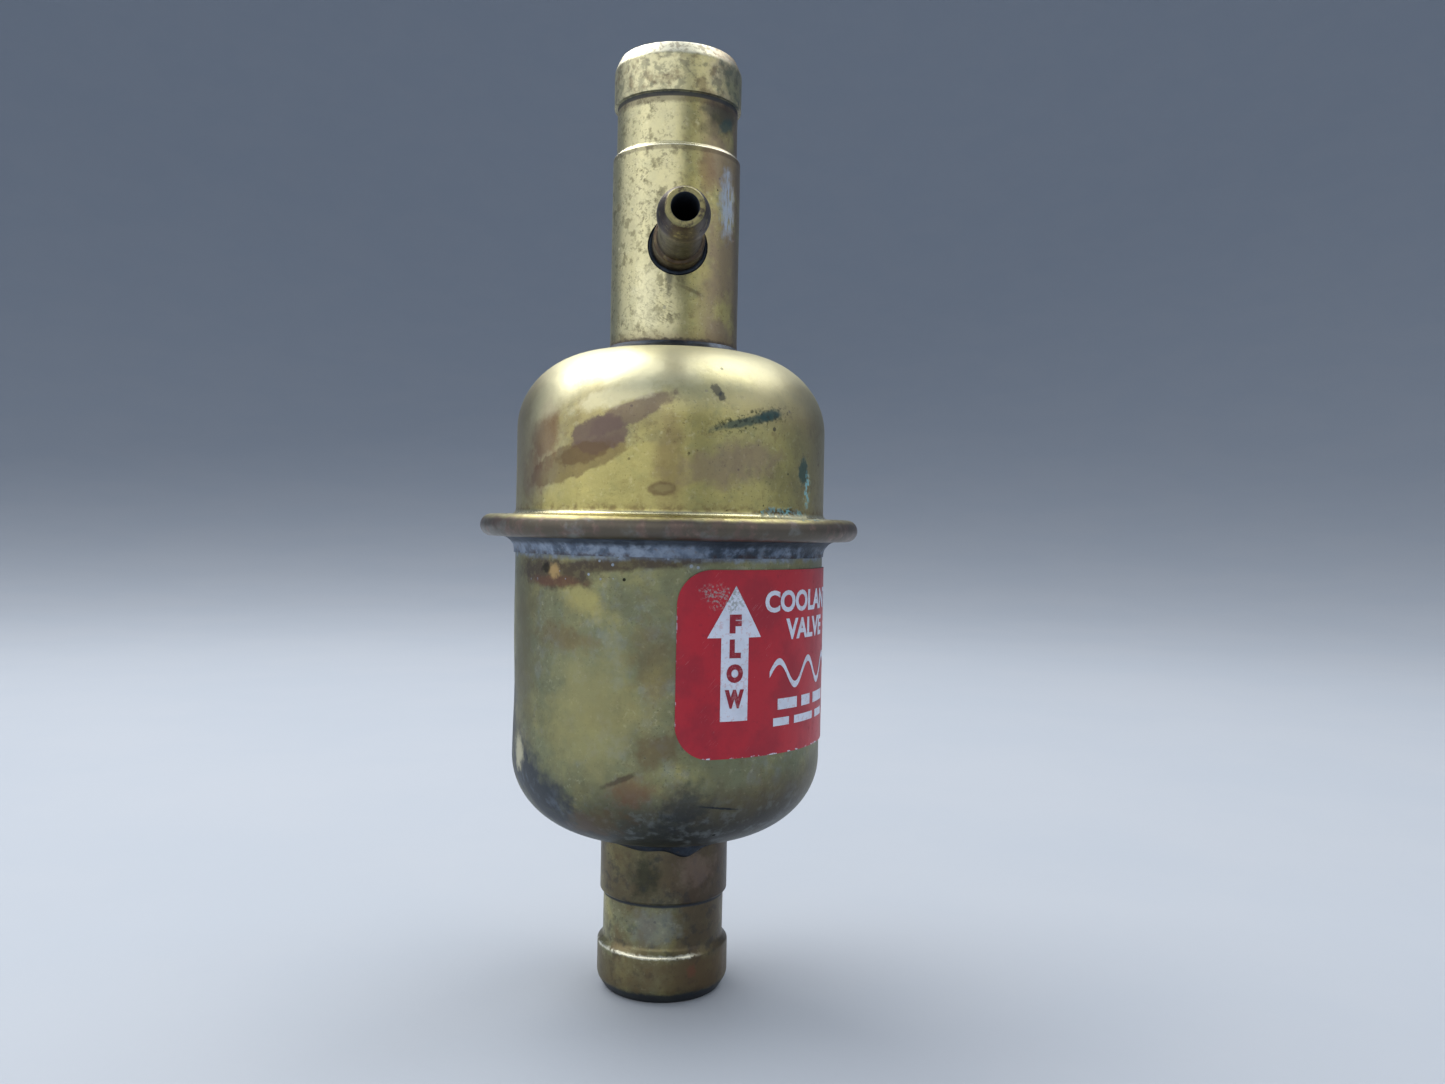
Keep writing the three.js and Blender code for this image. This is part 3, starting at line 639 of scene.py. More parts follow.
class Finish:
    """A procedural material built up in coats, called f below. Places are millimetres in the frame."""

    def __init__(self, name, colour, roughness, metal=1.0):
        self.material = bpy.data.materials.new(name)
        self.material.use_nodes = True
        self.tree = self.material.node_tree
        self.shader = self.tree.nodes["Principled BSDF"]
        self.noises = {}
        place = self.add("ShaderNodeTexCoord").outputs["Object"]
        self.place = self.vector("SCALE", place, scale=1 / MM)
        self.x, self.y, self.height = self.add("ShaderNodeSeparateXYZ", {0: self.place}).outputs
        minus_y = self.math("MULTIPLY", self.y, -1)
        self.direction = self.math("DEGREES", self.math("ARCTAN2", self.x, minus_y))
        around = self.math("MULTIPLY", self.direction, radians(SHELL_RADIUS))
        self.unrolled = self.add("ShaderNodeCombineXYZ", {0: around, 1: self.height}).outputs[0]
        node = self.add("ShaderNodeRGB")
        node.outputs[0].default_value = (*colour, 1)
        self.colour = node.outputs[0]
        self.roughness = roughness
        self.metal = metal
        self.relief = 0.0

    def add(self, kind, inputs=None, **settings):
        node = self.tree.nodes.new(kind)
        for key, value in settings.items():
            setattr(node, key, value)
        for key, value in (inputs or {}).items():
            self.put(node.inputs[key], value)
        return node

    def put(self, socket, value):
        if isinstance(value, bpy.types.NodeSocket):
            self.tree.links.new(value, socket)
        else:
            socket.default_value = value

    def math(self, operation, a, b=0.0):
        return self.add("ShaderNodeMath", {0: a, 1: b}, operation=operation).outputs[0]

    def vector(self, operation, a, scale=1.0):
        node = self.add("ShaderNodeVectorMath", {0: a, 3: scale}, operation=operation)
        return node.outputs[1 if operation == "LENGTH" else 0]

    def stretched(self, vector, size, at, tilt=0.0):
        """Coordinates centred on a place, turned by tilt degrees, and 1 at a distance of size."""
        inputs = {"Vector": vector, "Location": at, "Rotation": (0, 0, radians(tilt)), "Scale": size}
        return self.add("ShaderNodeMapping", inputs, vector_type="TEXTURE").outputs[0]

    def noise(self, size, detail=5.0, roughness=0.6, at=0.0):
        """Smooth noise from 0 to 1 with features of that size."""
        key = (size, detail, roughness, at)
        if key not in self.noises:
            vector = self.stretched(self.place, (size,) * 3, at=(at, at, at))
            inputs = {"Vector": vector, "Scale": 1, "Detail": detail, "Roughness": roughness}
            self.noises[key] = self.add("ShaderNodeTexNoise", inputs).outputs[0]
        return self.noises[key]

    def grain(self, length, width, tilt=0.0, at=0.0, detail=3.0):
        """Noise drawn out into streaks, tilt degrees from level, on the unrolled surface."""
        vector = self.stretched(self.unrolled, (length, width, 1), at=(at, at, 0), tilt=tilt)
        inputs = {"Vector": vector, "Scale": 1, "Detail": detail, "Roughness": 0.6}
        return self.add("ShaderNodeTexNoise", inputs).outputs[0]

    def step(self, value, start, end):
        """0 below start, 1 above end, smooth between them. start may be the higher one."""
        inputs = {"Value": value, "From Min": start, "From Max": end}
        return self.add("ShaderNodeMapRange", inputs, interpolation_type="SMOOTHSTEP").outputs[0]

    def both(self, a, b):
        return self.math("MULTIPLY", a, b)

    def either(self, a, b):
        return self.math("MAXIMUM", a, b)

    def mottle(self, size, start, end, at=0.0, detail=5.0, roughness=0.62):
        """Cloudy areas, from where the noise is at start to where it is at end."""
        return self.step(self.noise(size, detail, roughness, at), start, end)

    def wavering(self, value, amount, size):
        """value plus noise of up to amount either way."""
        swing = self.math("SUBTRACT", self.noise(size, 5, 0.62), 0.5)
        return self.math("ADD", value, self.math("MULTIPLY", swing, 3.2 * amount))

    def band(self, low, high, soft, wobble=0.0, size=3.0):
        """Heights from low to high, with soft and wavy edges."""
        height = self.wavering(self.height, wobble, size) if wobble else self.height
        above = self.step(height, low - soft, low + soft)
        return self.both(above, self.step(height, high + soft, high - soft))

    def sector(self, start, end, soft, wobble=4.0, size=4.0):
        """Directions from start to end, in degrees."""
        direction = self.wavering(self.direction, wobble, size)
        after = self.step(direction, start - soft, start + soft)
        return self.both(after, self.step(direction, end + soft, end - soft))

    def patch(self, direction, height, half_width, half_height, tilt, ragged, size, soft=0.3):
        """An uneven ellipse on the unrolled surface. Its edge has bays of that size."""
        at = (radians(direction) * SHELL_RADIUS, height, 0)
        vector = self.stretched(self.unrolled, (half_width, half_height, 1), at, tilt)
        distance = self.wavering(self.vector("LENGTH", vector), ragged, size)
        return self.step(distance, 1 + soft, 1 - soft)

    def specks(self, spacing, share, radius, at):
        """Small uneven dots in a share of cells of that spacing."""
        vector = self.stretched(self.place, (spacing,) * 3, at=(at, at, at))
        node = self.add("ShaderNodeTexVoronoi", {"Vector": vector, "Scale": 1.0})
        chosen = self.add("ShaderNodeSeparateColor", {0: node.outputs["Color"]}).outputs
        size = self.math("MULTIPLY", chosen[1], radius)
        distance = self.wavering(node.outputs["Distance"], 0.03, 0.3 * spacing)
        inside = self.math("LESS_THAN", distance, size)
        return self.both(inside, self.math("LESS_THAN", chosen[0], share))

    def mixed(self, mask, below, above):
        """below where mask is 0, above where it is 1: numbers or sockets."""
        return self.add("ShaderNodeMix", {0: mask, 2: below, 3: above}).outputs[0]

    def coat(self, mask, colour, strength, roughness=None, metal=None, lift=0.0):
        """A layer over what is there, where mask is above 0. It lifts the surface by millimetres."""
        if strength != 1:
            mask = self.math("MULTIPLY", mask, strength)
        inputs = {0: mask, 6: self.colour, 7: (*colour, 1)}
        self.colour = self.add("ShaderNodeMix", inputs, data_type="RGBA").outputs[2]
        if roughness is not None:
            self.roughness = self.mixed(mask, self.roughness, roughness)
        if metal is not None:
            self.metal = self.mixed(mask, self.metal, metal)
        if lift:
            self.relief = self.math("ADD", self.math("MULTIPLY", mask, lift), self.relief)

    def stain(self, colour, strength, roughness, *place, metal=None, lift=0.0):
        """A coat in one patch. place is what the patch takes, from its direction on."""
        self.coat(self.patch(*place), colour, strength, roughness, metal, lift)

    def raise_by(self, value, amount):
        """Adds relief in millimetres, without a change of colour."""
        self.relief = self.math("ADD", self.math("MULTIPLY", value, amount), self.relief)

    def done(self):
        """The material, with its coats and relief joined to the shader."""
        bump = self.add("ShaderNodeBump", {"Height": self.relief, "Distance": MM, "Strength": 1.0})
        surface = {"Base Color": self.colour, "Roughness": self.roughness, "Metallic": self.metal}
        for name, value in (surface | {"Normal": bump.outputs[0]}).items():
            self.put(self.shader.inputs[name], value)
        return self.material


def scratched(f):
    """Fine handling scratches in several directions."""
    for k, tilt in enumerate((4, 63, -38)):
        streak = f.step(f.grain(9, 0.09, tilt, at=5 * k, detail=2), 0.66, 0.72)
        f.coat(streak, PALE_BRASS_AND_HIGHLIGHT, 0.22, 0.3, lift=-0.006)


def weathered_brass(name, colour, roughness):
    """The base of every outer brass piece: mottled tones, tarnish, pits and grain."""
    f = Finish(name, colour, roughness)
    f.coat(f.mottle(11, 0.42, 0.66), GOLD, 0.5, 0.3)
    f.coat(f.mottle(6, 0.48, 0.7, at=31), TARNISH_AND_SHADE, 0.5, 0.44)
    f.coat(f.mottle(2.4, 0.5, 0.7, at=9), GREEN_BRASS, 0.5, 0.42)
    f.coat(f.mottle(1.3, 0.52, 0.72, at=4), BROWN, 0.4, 0.48)
    f.coat(f.mottle(0.7, 0.56, 0.7, at=14), PALE_BRASS_AND_HIGHLIGHT, 0.3, 0.3)
    f.coat(f.mottle(0.3, 0.6, 0.7, at=2, detail=3), DARK, 0.5, 0.6, lift=-0.008)
    f.coat(f.specks(2.4, 0.4, 0.13, at=3), DARK, 0.85, 0.8, metal=0.5, lift=-0.02)
    f.coat(f.specks(5.5, 0.3, 0.08, at=13), DARK, 0.9, 0.8, metal=0.3, lift=-0.03)
    scratched(f)
    f.raise_by(f.noise(0.45, 4, 0.7), 0.016)
    f.raise_by(f.noise(4, 3, 0.5), 0.07)
    return f


def upper_shell_finish():
    f = weathered_brass("upper_shell_brass", OLIVE, 0.3)
    dome_tones(f)
    dome_stains(f)
    dome_verdigris(f)
    hem_tones(f)
    return f.done()


def dome_tones(f):
    """Mauve flanks, a golden belt, a narrow brown band that is a painted reflection of shade, and a
    painted highlight that pales the shoulders and the dull crown.
    """
    f.raise_by(f.grain(0.5, 9, at=2), 0.008)
    f.raise_by(f.noise(1.5, 3, 0.5, at=50), 0.03)
    f.coat(f.specks(1.7, 0.4, 0.12, at=23), DARK, 0.7, 0.7, lift=-0.01)
    f.coat(f.sector(14, 125, 16), GREEN_BRASS, 0.15, 0.36)
    f.coat(f.sector(50, 125, 14), MAUVE, 0.4, 0.38)
    f.stain(MAUVE, 0.3, 0.38, -52, 84, 15, 8, 0, 0.4, 4, 0.5)
    f.stain(GOLD, 0.42, 0.3, -22, 72.5, 13, 6.2, 14, 0.22, 2.5, 0.1)
    f.stain(MAUVE, 0.35, 0.42, 43, 87, 8, 5, 0, 0.5, 4, 0.6)
    # Painted reflection of shade: a narrow brown vertical band at the front
    f.stain(BROWN, 0.55, 0.36, -3, 77.5, 2, 6, 0, 0.5, 3, 0.6)
    f.stain(PALE_BRASS_AND_HIGHLIGHT, 0.45, 0.36, -66, 79, 8, 8, 0, 0.5, 4, 0.6)
    # Painted highlight: a pale band over the dome's shoulders, on rougher metal
    f.coat(f.band(85, 100, 2.2, 0.8, 5), PALE_BRASS_AND_HIGHLIGHT, 0.35, 0.42)
    # Painted highlight: the crown round the neck made pale and dull
    f.stain(PALE_BRASS_AND_HIGHLIGHT, 0.7, 0.52, 0, SHELL_TOP, 90, 4.5, 0, 0.3, 3, 0.8, metal=0.55)


def dome_stains(f):
    """The brown and purple swath up the left side, with the marks round it."""
    f.stain(BROWN, 0.6, 0.38, -40, 77, 9.5, 2.2, 15, 0.3, 2.5, 0.1)
    f.stain(RED_BROWN, 0.6, 0.38, -52, 80.6, 3, 4.2, -14, 0.6, 2.2, 0.4)
    f.stain(RED_BROWN, 0.4, 0.38, -60, 75.5, 3.5, 3.5, 0, 0.7, 2.2, 0.5)
    f.stain(MAUVE, 0.4, 0.38, -74, 80, 6, 9, 0, 0.5, 4, 0.5)
    f.stain(PALE_BRASS_AND_HIGHLIGHT, 0.6, 0.34, -50, 86.5, 5, 3, 30, 0.5, 3, 0.5)
    f.stain(PURPLE, 0.85, 0.45, -27.5, 80.7, 4.3, 2.4, 10, 0.3, 1.8, 0.12)
    f.stain(PURPLE, 0.7, 0.42, -17, 83.4, 6.6, 1.5, 24, 0.35, 1.8, 0.16)
    f.stain(BROWN, 0.7, 0.45, -33, 78.3, 4.5, 1.3, 12, 0.4, 1.6, 0.2)
    f.stain(MAUVE, 0.6, 0.42, 17, 77, 7, 2.4, 12, 0.8, 2.5, 0.5)
    f.stain(PALE_BRASS_AND_HIGHLIGHT, 0.6, 0.34, -14, 90, 8, 2.6, 0, 0.6, 3, 0.5)
    f.stain(PALE_BRASS_AND_HIGHLIGHT, 0.55, 0.36, -21, 86, 6.5, 1.3, 14, 0.5, 1.8, 0.3)
    f.stain(SOOT_AND_SHADE, 0.75, 0.6, 13.2, 86.9, 0.95, 0.62, -50, 0.5, 0.6, metal=0.7)
    f.stain(SOOT_AND_SHADE, 0.75, 0.6, 14.8, 86.1, 0.5, 0.62, 0, 0.5, 0.5, metal=0.7)
    f.stain(BROWN, 0.7, 0.42, -5, 73.6, 1.9, 0.95, 0, 0.25, 0.8, 0.25)
    f.stain(OLIVE, 0.3, 0.38, -4.6, 73.7, 1.2, 0.5, 6, 0.4, 0.7, 0.4)


def dome_verdigris(f):
    """Teal strokes, drips and crust on the right side."""
    f.stain(TEAL, 0.75, 0.75, 24, 82.9, 5.6, 0.55, 14, 0.4, 0.9, 0.4, metal=0.2, lift=0.02)
    f.stain(TEAL, 0.85, 0.8, 32.5, 83.9, 2, 0.8, 12, 0.45, 0.7, 0.4, metal=0.1, lift=0.03)
    crumbs = f.both(f.patch(27, 83.2, 7, 1.3, 14, 0.3, 1), f.mottle(0.6, 0.5, 0.62, at=19))
    f.coat(crumbs, DARK_GREEN, 0.7, 0.7)
    f.stain(TEAL, 0.9, 0.8, 51.5, 76.7, 1.3, 1.9, 0, 0.45, 0.9, metal=0.2, lift=0.02)
    drip = f.both(f.patch(54.3, 73.9, 0.8, 2.3, -4, 0.6, 0.6, 0.4), f.mottle(0.8, 0.42, 0.54, at=29))
    f.coat(drip, VERDIGRIS, 0.9, 0.9, metal=0, lift=0.04)
    f.stain(DARK_GREEN, 0.8, 0.7, 41, 70.6, 4, 0.7, 0, 0.6, 0.9, 0.4)
    crust = f.both(f.patch(40, 70.7, 4.4, 0.8, 0, 0.5, 0.9), f.mottle(0.5, 0.46, 0.54, at=7))
    f.coat(crust, VERDIGRIS, 1, 0.9, metal=0, lift=0.06)


def hem_tones(f):
    """Grime above the hem, its brown edge with worn places, a painted highlight along its top, and a
    dark ring round the neck.
    """
    grime = f.band(HEM_TOP - 0.5, HEM_TOP + 1.4, 0.6, 0.5, 2)
    f.coat(f.both(grime, f.mottle(1.6, 0.42, 0.6, at=6)), BROWN, 0.6, 0.5)
    f.coat(f.band(HEM_BOTTOM - 1, HEM_TOP - 0.55, 0.35, 0.15), HEM_BROWN, 0.92, 0.46)
    hem = f.band(HEM_BOTTOM - 1, HEM_TOP - 0.5, 0.3)
    hem_wear = f.both(hem, f.mottle(2.2, 0.48, 0.62, at=21))
    f.coat(hem_wear, PURPLE, 0.7, 0.4)
    f.coat(f.both(hem_wear, f.mottle(0.8, 0.52, 0.66, at=5)), MAUVE, 0.5, 0.36)
    f.coat(f.both(hem, f.mottle(5, 0.5, 0.66, at=40)), GREY_FILM, 0.4)
    # Painted highlight: a pale, glossy line along the top of the hem
    f.coat(f.band(HEM_TOP - 0.1, HEM_TOP + 0.5, 0.3, 0.15, 1.5), PALE_BRASS_AND_HIGHLIGHT, 0.75, 0.22)
    neck_dark_ring = f.both(f.patch(0, SHELL_TOP, 90, 0.42, 0, 0.3, 1, 0.5), f.noise(1))
    f.coat(neck_dark_ring, SOOT_AND_SHADE, 1, 0.7, metal=0.4)


def lower_shell_finish():
    f = weathered_brass("lower_shell_brass", DULL_OLIVE, 0.4)
    lower_tones(f)
    solder_marks(f)
    lower_stains(f)
    return f.done()


def lower_tones(f):
    """Dull green and grey clouds, painted shade towards the bottom, the right and the left edge, and
    painted light left of the middle.
    """
    f.raise_by(f.grain(0.5, 9, at=2), 0.008)
    f.coat(f.mottle(9, 0.3, 0.56, at=44), DULL_GREEN, 0.5, 0.44)
    f.coat(f.mottle(3.4, 0.5, 0.68, at=5), GREY_FILM, 0.36, 0.5)
    f.coat(f.both(f.grain(12, 1.4, 4, at=7), f.mottle(4, 0.45, 0.6, at=17)), TARNISH_AND_SHADE, 0.5, 0.5)
    f.stain(GOLD, 0.35, 0.35, -33, 59, 4.5, 1.8, -30, 0.6, 2, 0.6)
    # Painted light: a lighter area left of the middle
    f.stain(OLIVE, 0.5, 0.38, -27, 44, 7, 9, 0, 0.7, 4, 0.6)
    # Painted shade: a darker band near the left edge
    f.stain(TARNISH_AND_SHADE, 0.7, 0.45, -66, 50, 4, 12, 0, 0.6, 4, 0.6)
    f.stain(BROWN, 0.6, 0.42, 55, 30, 26, 4.5, 0, 0.5, 4, 0.6)
    # Painted shade: darker towards the bottom, on the lower right and on the right side
    low = f.band(14, 31, 5, 1.4, 4)
    f.coat(low, SOOT_AND_SHADE, 0.8, 0.42)
    f.coat(f.both(f.sector(35, 130, 20), f.band(20, 36, 4, 1, 4)), SOOT_AND_SHADE, 0.4)
    f.coat(f.sector(62, 125, 14), TARNISH_AND_SHADE, 0.5, 0.42)
    f.coat(f.both(low, f.mottle(1.7, 0.5, 0.66, at=8)), GREY_FILM, 0.4, 0.6, metal=0.6)
    f.coat(f.specks(4.5, 0.35, 0.055, at=33), DARK, 0.9, 0.8, lift=-0.02)


def solder_marks(f):
    """What the soldering of the seam left: scorched brass, flux and specks of powder."""
    burnt_spot = f.patch(-48, 62.2, 7.5, 1.9, -3, 0.5, 1.6, 0.35)
    burnt = f.either(burnt_spot, f.patch(-17, 63.7, 20, 0.9, 5, 0.45, 1.8, 0.4))
    f.coat(burnt, BURNT_AND_SHADE, 0.85, 0.48, metal=0.85)
    f.coat(f.both(burnt, f.mottle(1.1, 0.5, 0.62, at=27)), TARNISH_AND_SHADE, 0.6, 0.4)
    flux = f.band(64.3, 68, 0.5, 0.7, 2.2)
    f.coat(flux, SOLDER, 0.75, 0.6, metal=0.7, lift=0.02)
    f.coat(f.both(flux, f.mottle(1.3, 0.45, 0.6, at=12)), POWDER, 0.6, 0.85, metal=0.2)
    f.stain(RED_BROWN, 0.5, 0.45, -46, 61, 5, 0.7, 0, 0.5, 1.2, 0.5)
    f.stain(OCHRE, 0.75, 0.38, -45.2, 62.4, 1.1, 0.95, 0, 0.5, 0.7, 0.5)
    f.stain(DARK, 0.85, 0.6, -49.4, 62.8, 0.8, 0.7, 0, 0.5, 0.7, 0.4)
    powder = f.both(f.patch(-30, 63, 16, 1.6, 3, 0.3, 2), f.specks(0.8, 0.3, 0.3, at=6))
    f.coat(powder, POWDER, 0.8, 0.9, metal=0.1)


def lower_stains(f):
    """The sooty corner on the left, and the stains along the bottom."""
    corner = f.patch(-57, 32, 10, 4.2, -28, 0.6, 2.6, 0.45)
    sooty = f.either(corner, f.patch(-83, 38, 4.5, 8, 0, 0.8, 3.2, 0.7))
    f.coat(sooty, SOOT_AND_SHADE, 0.94, 0.52, metal=0.4)
    chalk = f.both(f.patch(-58, 31, 8, 3.6, -25, 0.5, 2.2), f.mottle(2.2, 0.48, 0.7, at=3))
    f.coat(chalk, POWDER, 0.2, 0.7, metal=0.5)
    f.stain(PALE_BRASS_AND_HIGHLIGHT, 0.6, 0.4, -68, 36.3, 1.5, 2.2, 0, 0.6, 1.2, 0.5)
    f.stain(RED_BROWN, 0.55, 0.45, -13.5, 33.4, 3, 1.8, 10, 0.7, 1.5, 0.6)
    f.stain(BURNT_AND_SHADE, 0.6, 0.5, -18, 35, 2.6, 0.35, 24, 0.5, 0.9, 0.5)
    f.stain(SOOT_AND_SHADE, 0.6, 0.48, 5, 31.2, 3.8, 2.5, 40, 0.8, 1.8, 0.55)
    f.stain(BROWN, 0.5, 0.48, -30, 28.5, 5.5, 1.8, 10, 0.8, 2, 0.5)
    f.stain(BROWN, 0.6, 0.45, -5, 39.2, 3.2, 2, 25, 0.7, 1.6, 0.5)
    f.stain(BROWN, 0.5, 0.45, -40, 53.5, 4.6, 1.6, -8, 0.9, 2, 0.6)
    f.stain(BROWN, 0.4, 0.45, -6, 51, 3, 5, 0, 0.9, 2, 0.6)
    f.stain(SOOT_AND_SHADE, 0.85, 0.6, 18, 31.2, 2.6, 0.14, -8, 0.6, 0.6, 0.5, lift=-0.03)
    f.stain(SOOT_AND_SHADE, 0.9, 0.6, -60, 36, 0.2, 0.45, 10, 0.4, 0.6)


def outlet_neck_finish():
    f = weathered_brass("outlet_neck_brass", OLIVE, 0.3)
    outlet_tube(f)
    outlet_end(f)
    outlet_foot(f)
    return f.done()


def outlet_tube(f):
    """Painted light paling the left side, which is also pitted and crinkled; mauve on the right, with a
    powdery mark.
    """
    f.raise_by(f.grain(14, 0.35, at=1), 0.006)
    # Painted light: the left side of the tube made paler
    f.coat(f.sector(-110, 2, 12), PALE_BRASS_AND_HIGHLIGHT, 0.6, 0.34)
    pits = f.both(f.mottle(0.5, 0.52, 0.6, at=6, roughness=0.75), f.mottle(2.6, 0.4, 0.55, at=3))
    f.coat(f.both(pits, f.sector(-100, -4, 12)), BURNT_AND_SHADE, 0.44, 0.55, metal=0.9, lift=-0.02)
    f.coat(f.both(f.mottle(1.6, 0.52, 0.64, at=16), f.sector(-100, 10, 12)), TARNISH_AND_SHADE, 0.6, 0.42)
    creases = f.step(f.grain(3.4, 0.16, -12, 9), 0.6, 0.66)
    f.coat(f.both(creases, f.patch(-22, 100, 7, 3.4, 0, 0.6, 2, 0.5)), BURNT_AND_SHADE, 0.7, 0.5, lift=-0.02)
    f.stain(PALE_BRASS_AND_HIGHLIGHT, 0.55, 0.3, -28, 101, 4, 5, 0, 0.8, 2, 0.6)
    crinkled = f.patch(-24, 103, 11, 8, 0, 0.5, 3, 0.6)
    f.raise_by(f.both(crinkled, f.noise(0.7, 4, 0.6, at=8)), 0.06)
    f.coat(f.both(f.sector(24, 130, 12), f.mottle(5, 0.3, 0.55, at=1)), MAUVE, 0.7, 0.38)
    f.coat(f.both(f.sector(66, 130, 10), f.mottle(3, 0.3, 0.6, at=8)), PURPLE, 0.4, 0.38)
    f.stain(RED_BROWN, 0.4, 0.4, 25, 120, 3, 3, 0, 0.7, 2, 0.5)
    powder = f.patch(49.5, 115.5, 4, 4.6, 12, 0.5, 1.3, 0.4)
    streaked = f.step(f.grain(0.6, 2.2, 0, at=4), 0.34, 0.52)
    f.coat(f.both(powder, streaked), POWDER, 0.85, 0.85, metal=0.1)


def outlet_end(f):
    """The groove, the mottled collar with a painted shadow below it, and the worn chamfer with a painted
    highlight on its lit side.
    """
    f.stain(SOOT_AND_SHADE, 0.6, 0.5, 44, 128.6, 9, 1.5, 0, 0.5, 1.5, 0.4)
    f.stain(DARK_GREEN, 0.5, 0.5, 47, 128, 9, 2.4, 8, 0.6, 1.6, 0.5)
    f.stain(TEAL, 0.7, 0.6, 50, 127, 4.2, 1, 10, 0.5, 1.2, 0.4, metal=0.5)
    collar = f.band(OUTLET_COLLAR - 0.3, OUTLET_CHAMFER + 0.2, 0.2)
    f.coat(collar, PALE_BRASS_AND_HIGHLIGHT, 0.35, 0.36)
    f.coat(f.both(collar, f.mottle(1.3, 0.46, 0.6, at=11)), SOOT_AND_SHADE, 0.42, 0.5)
    f.coat(f.both(collar, f.mottle(2.6, 0.5, 0.64, at=5)), BROWN, 0.5, 0.45)
    f.stain(TEAL, 0.6, 0.5, 60, 133.6, 10, 3, 0, 0.6, 1.6, 0.4, metal=0.7)
    # Painted shadow: dark bands on the groove below the collar's lower edge
    f.coat(f.band(OUTLET_COLLAR - 0.7, OUTLET_COLLAR - 0.02, 0.12), SOOT_AND_SHADE, 0.9, 0.7, metal=0.5)
    f.coat(f.band(OUTLET_COLLAR - 1.5, OUTLET_COLLAR - 0.5, 0.3, 0.3, 1), BURNT_AND_SHADE, 0.5, 0.5)
    above = OUTLET_HIGH.z + 1
    chamfer = f.band(OUTLET_CHAMFER + 0.1, above, 0.25, 0.3, 0.9)
    # Worn edge and painted highlight: the chamfer made whitish on the left and front, the side the lamps
    # light
    f.coat(f.both(chamfer, f.sector(-130, 34, 20)), WORN_AND_HIGHLIGHT, 0.75, 0.42)
    f.coat(f.both(f.band(OUTLET_CHAMFER + 0.2, above, 0.25), f.mottle(0.8, 0.48, 0.6)), BROWN, 0.5, 0.5)
    f.coat(f.band(OUTLET_STEP - 0.52, OUTLET_STEP - 0.08, 0.12, 0.05), WORN_AND_HIGHLIGHT, 0.75, 0.25)
    f.coat(f.band(OUTLET_STEP - 1.2, OUTLET_STEP - 0.6, 0.15, 0.1), BURNT_AND_SHADE, 0.4, 0.4)


def outlet_foot(f):
    """Painted shade in a dark band at the neck's foot by the solder ring, and marks below the nipple."""
    # Painted shade: a dark band at the foot of the neck, where it meets the solder ring
    f.coat(f.band(90, SHELL_TOP + 1.1, 0.25, 0.35, 0.8), SOOT_AND_SHADE, 0.9, 0.6, metal=0.6)
    f.coat(f.band(SHELL_TOP - 0.4, SHELL_TOP + 1.8, 1.2, 0.5, 4), BROWN, 0.45, 0.42)
    f.stain(BURNT_AND_SHADE, 0.4, 0.5, 12, 102.4, 4.5, 0.28, -8, 0.5, 0.9, 0.4)
    f.stain(SOOT_AND_SHADE, 0.6, 0.5, -7, 106, 1.2, 3.4, 0, 0.5, 1.2, 0.5)


def inlet_neck_finish():
    f = weathered_brass("inlet_neck_brass", DULL_OLIVE, 0.4)
    f.raise_by(f.grain(14, 0.35, at=1), 0.006)
    f.coat(f.mottle(4, 0.4, 0.6, at=2), BROWN, 0.6, 0.42)
    f.coat(f.mottle(9, 0.35, 0.6, at=22), TARNISH_AND_SHADE, 0.6, 0.42)
    # Painted shade: the right side, and the neck under the lower shell, made darker
    f.coat(f.sector(10, 130, 20), BURNT_AND_SHADE, 0.65, 0.42)
    f.coat(f.band(INLET_STEP + 0.3, 30, 0.3), BURNT_AND_SHADE, 0.5, 0.46)
    f.stain(DARK_GREEN, 0.62, 0.5, -18.3, 18.4, 4.6, 3, 0, 0.8, 1.6, 0.6)
    f.coat(f.mottle(1.6, 0.5, 0.66, at=36), SOOT_AND_SHADE, 0.4, 0.48)
    f.stain(MAUVE, 0.4, 0.45, 30, 19, 7, 2.4, 0, 0.8, 2, 0.5)
    f.stain(GREY_FILM, 0.35, 0.5, -10, 11, 9, 2.4, 0, 0.8, 2, 0.5)
    # Painted shade: a dark band under the step, where the neck overhangs the groove
    f.coat(f.band(INLET_STEP - 0.2, INLET_STEP + 0.3, 0.12, 0.05), SOOT_AND_SHADE, 0.9, 0.7, metal=0.5)
    rubbed = f.both(f.band(INLET_COLLAR - 0.2, INLET_COLLAR + 0.2, 0.2, 0.25, 0.8), f.sector(-85, 28, 8))
    f.coat(f.both(rubbed, f.mottle(1, 0.36, 0.5, at=5)), WORN_AND_HIGHLIGHT, 0.9, 0.25)
    f.coat(f.band(INLET_CHAMFER + 0.1, INLET_COLLAR - 0.6, 0.5, 0.4, 2), BROWN, 0.4, 0.42)
    # Painted shade: the downward-facing bottom chamfer and end made dark
    f.coat(f.band(-1, INLET_CHAMFER - 0.2, 0.3, 0.3, 1), SOOT_AND_SHADE, 0.9, 0.55, metal=0.8)
    f.stain(RED_BROWN, 0.75, 0.5, 24, 4.8, 1.5, 0.9, 0, 0.6, 0.9, 0.5)
    return f.done()


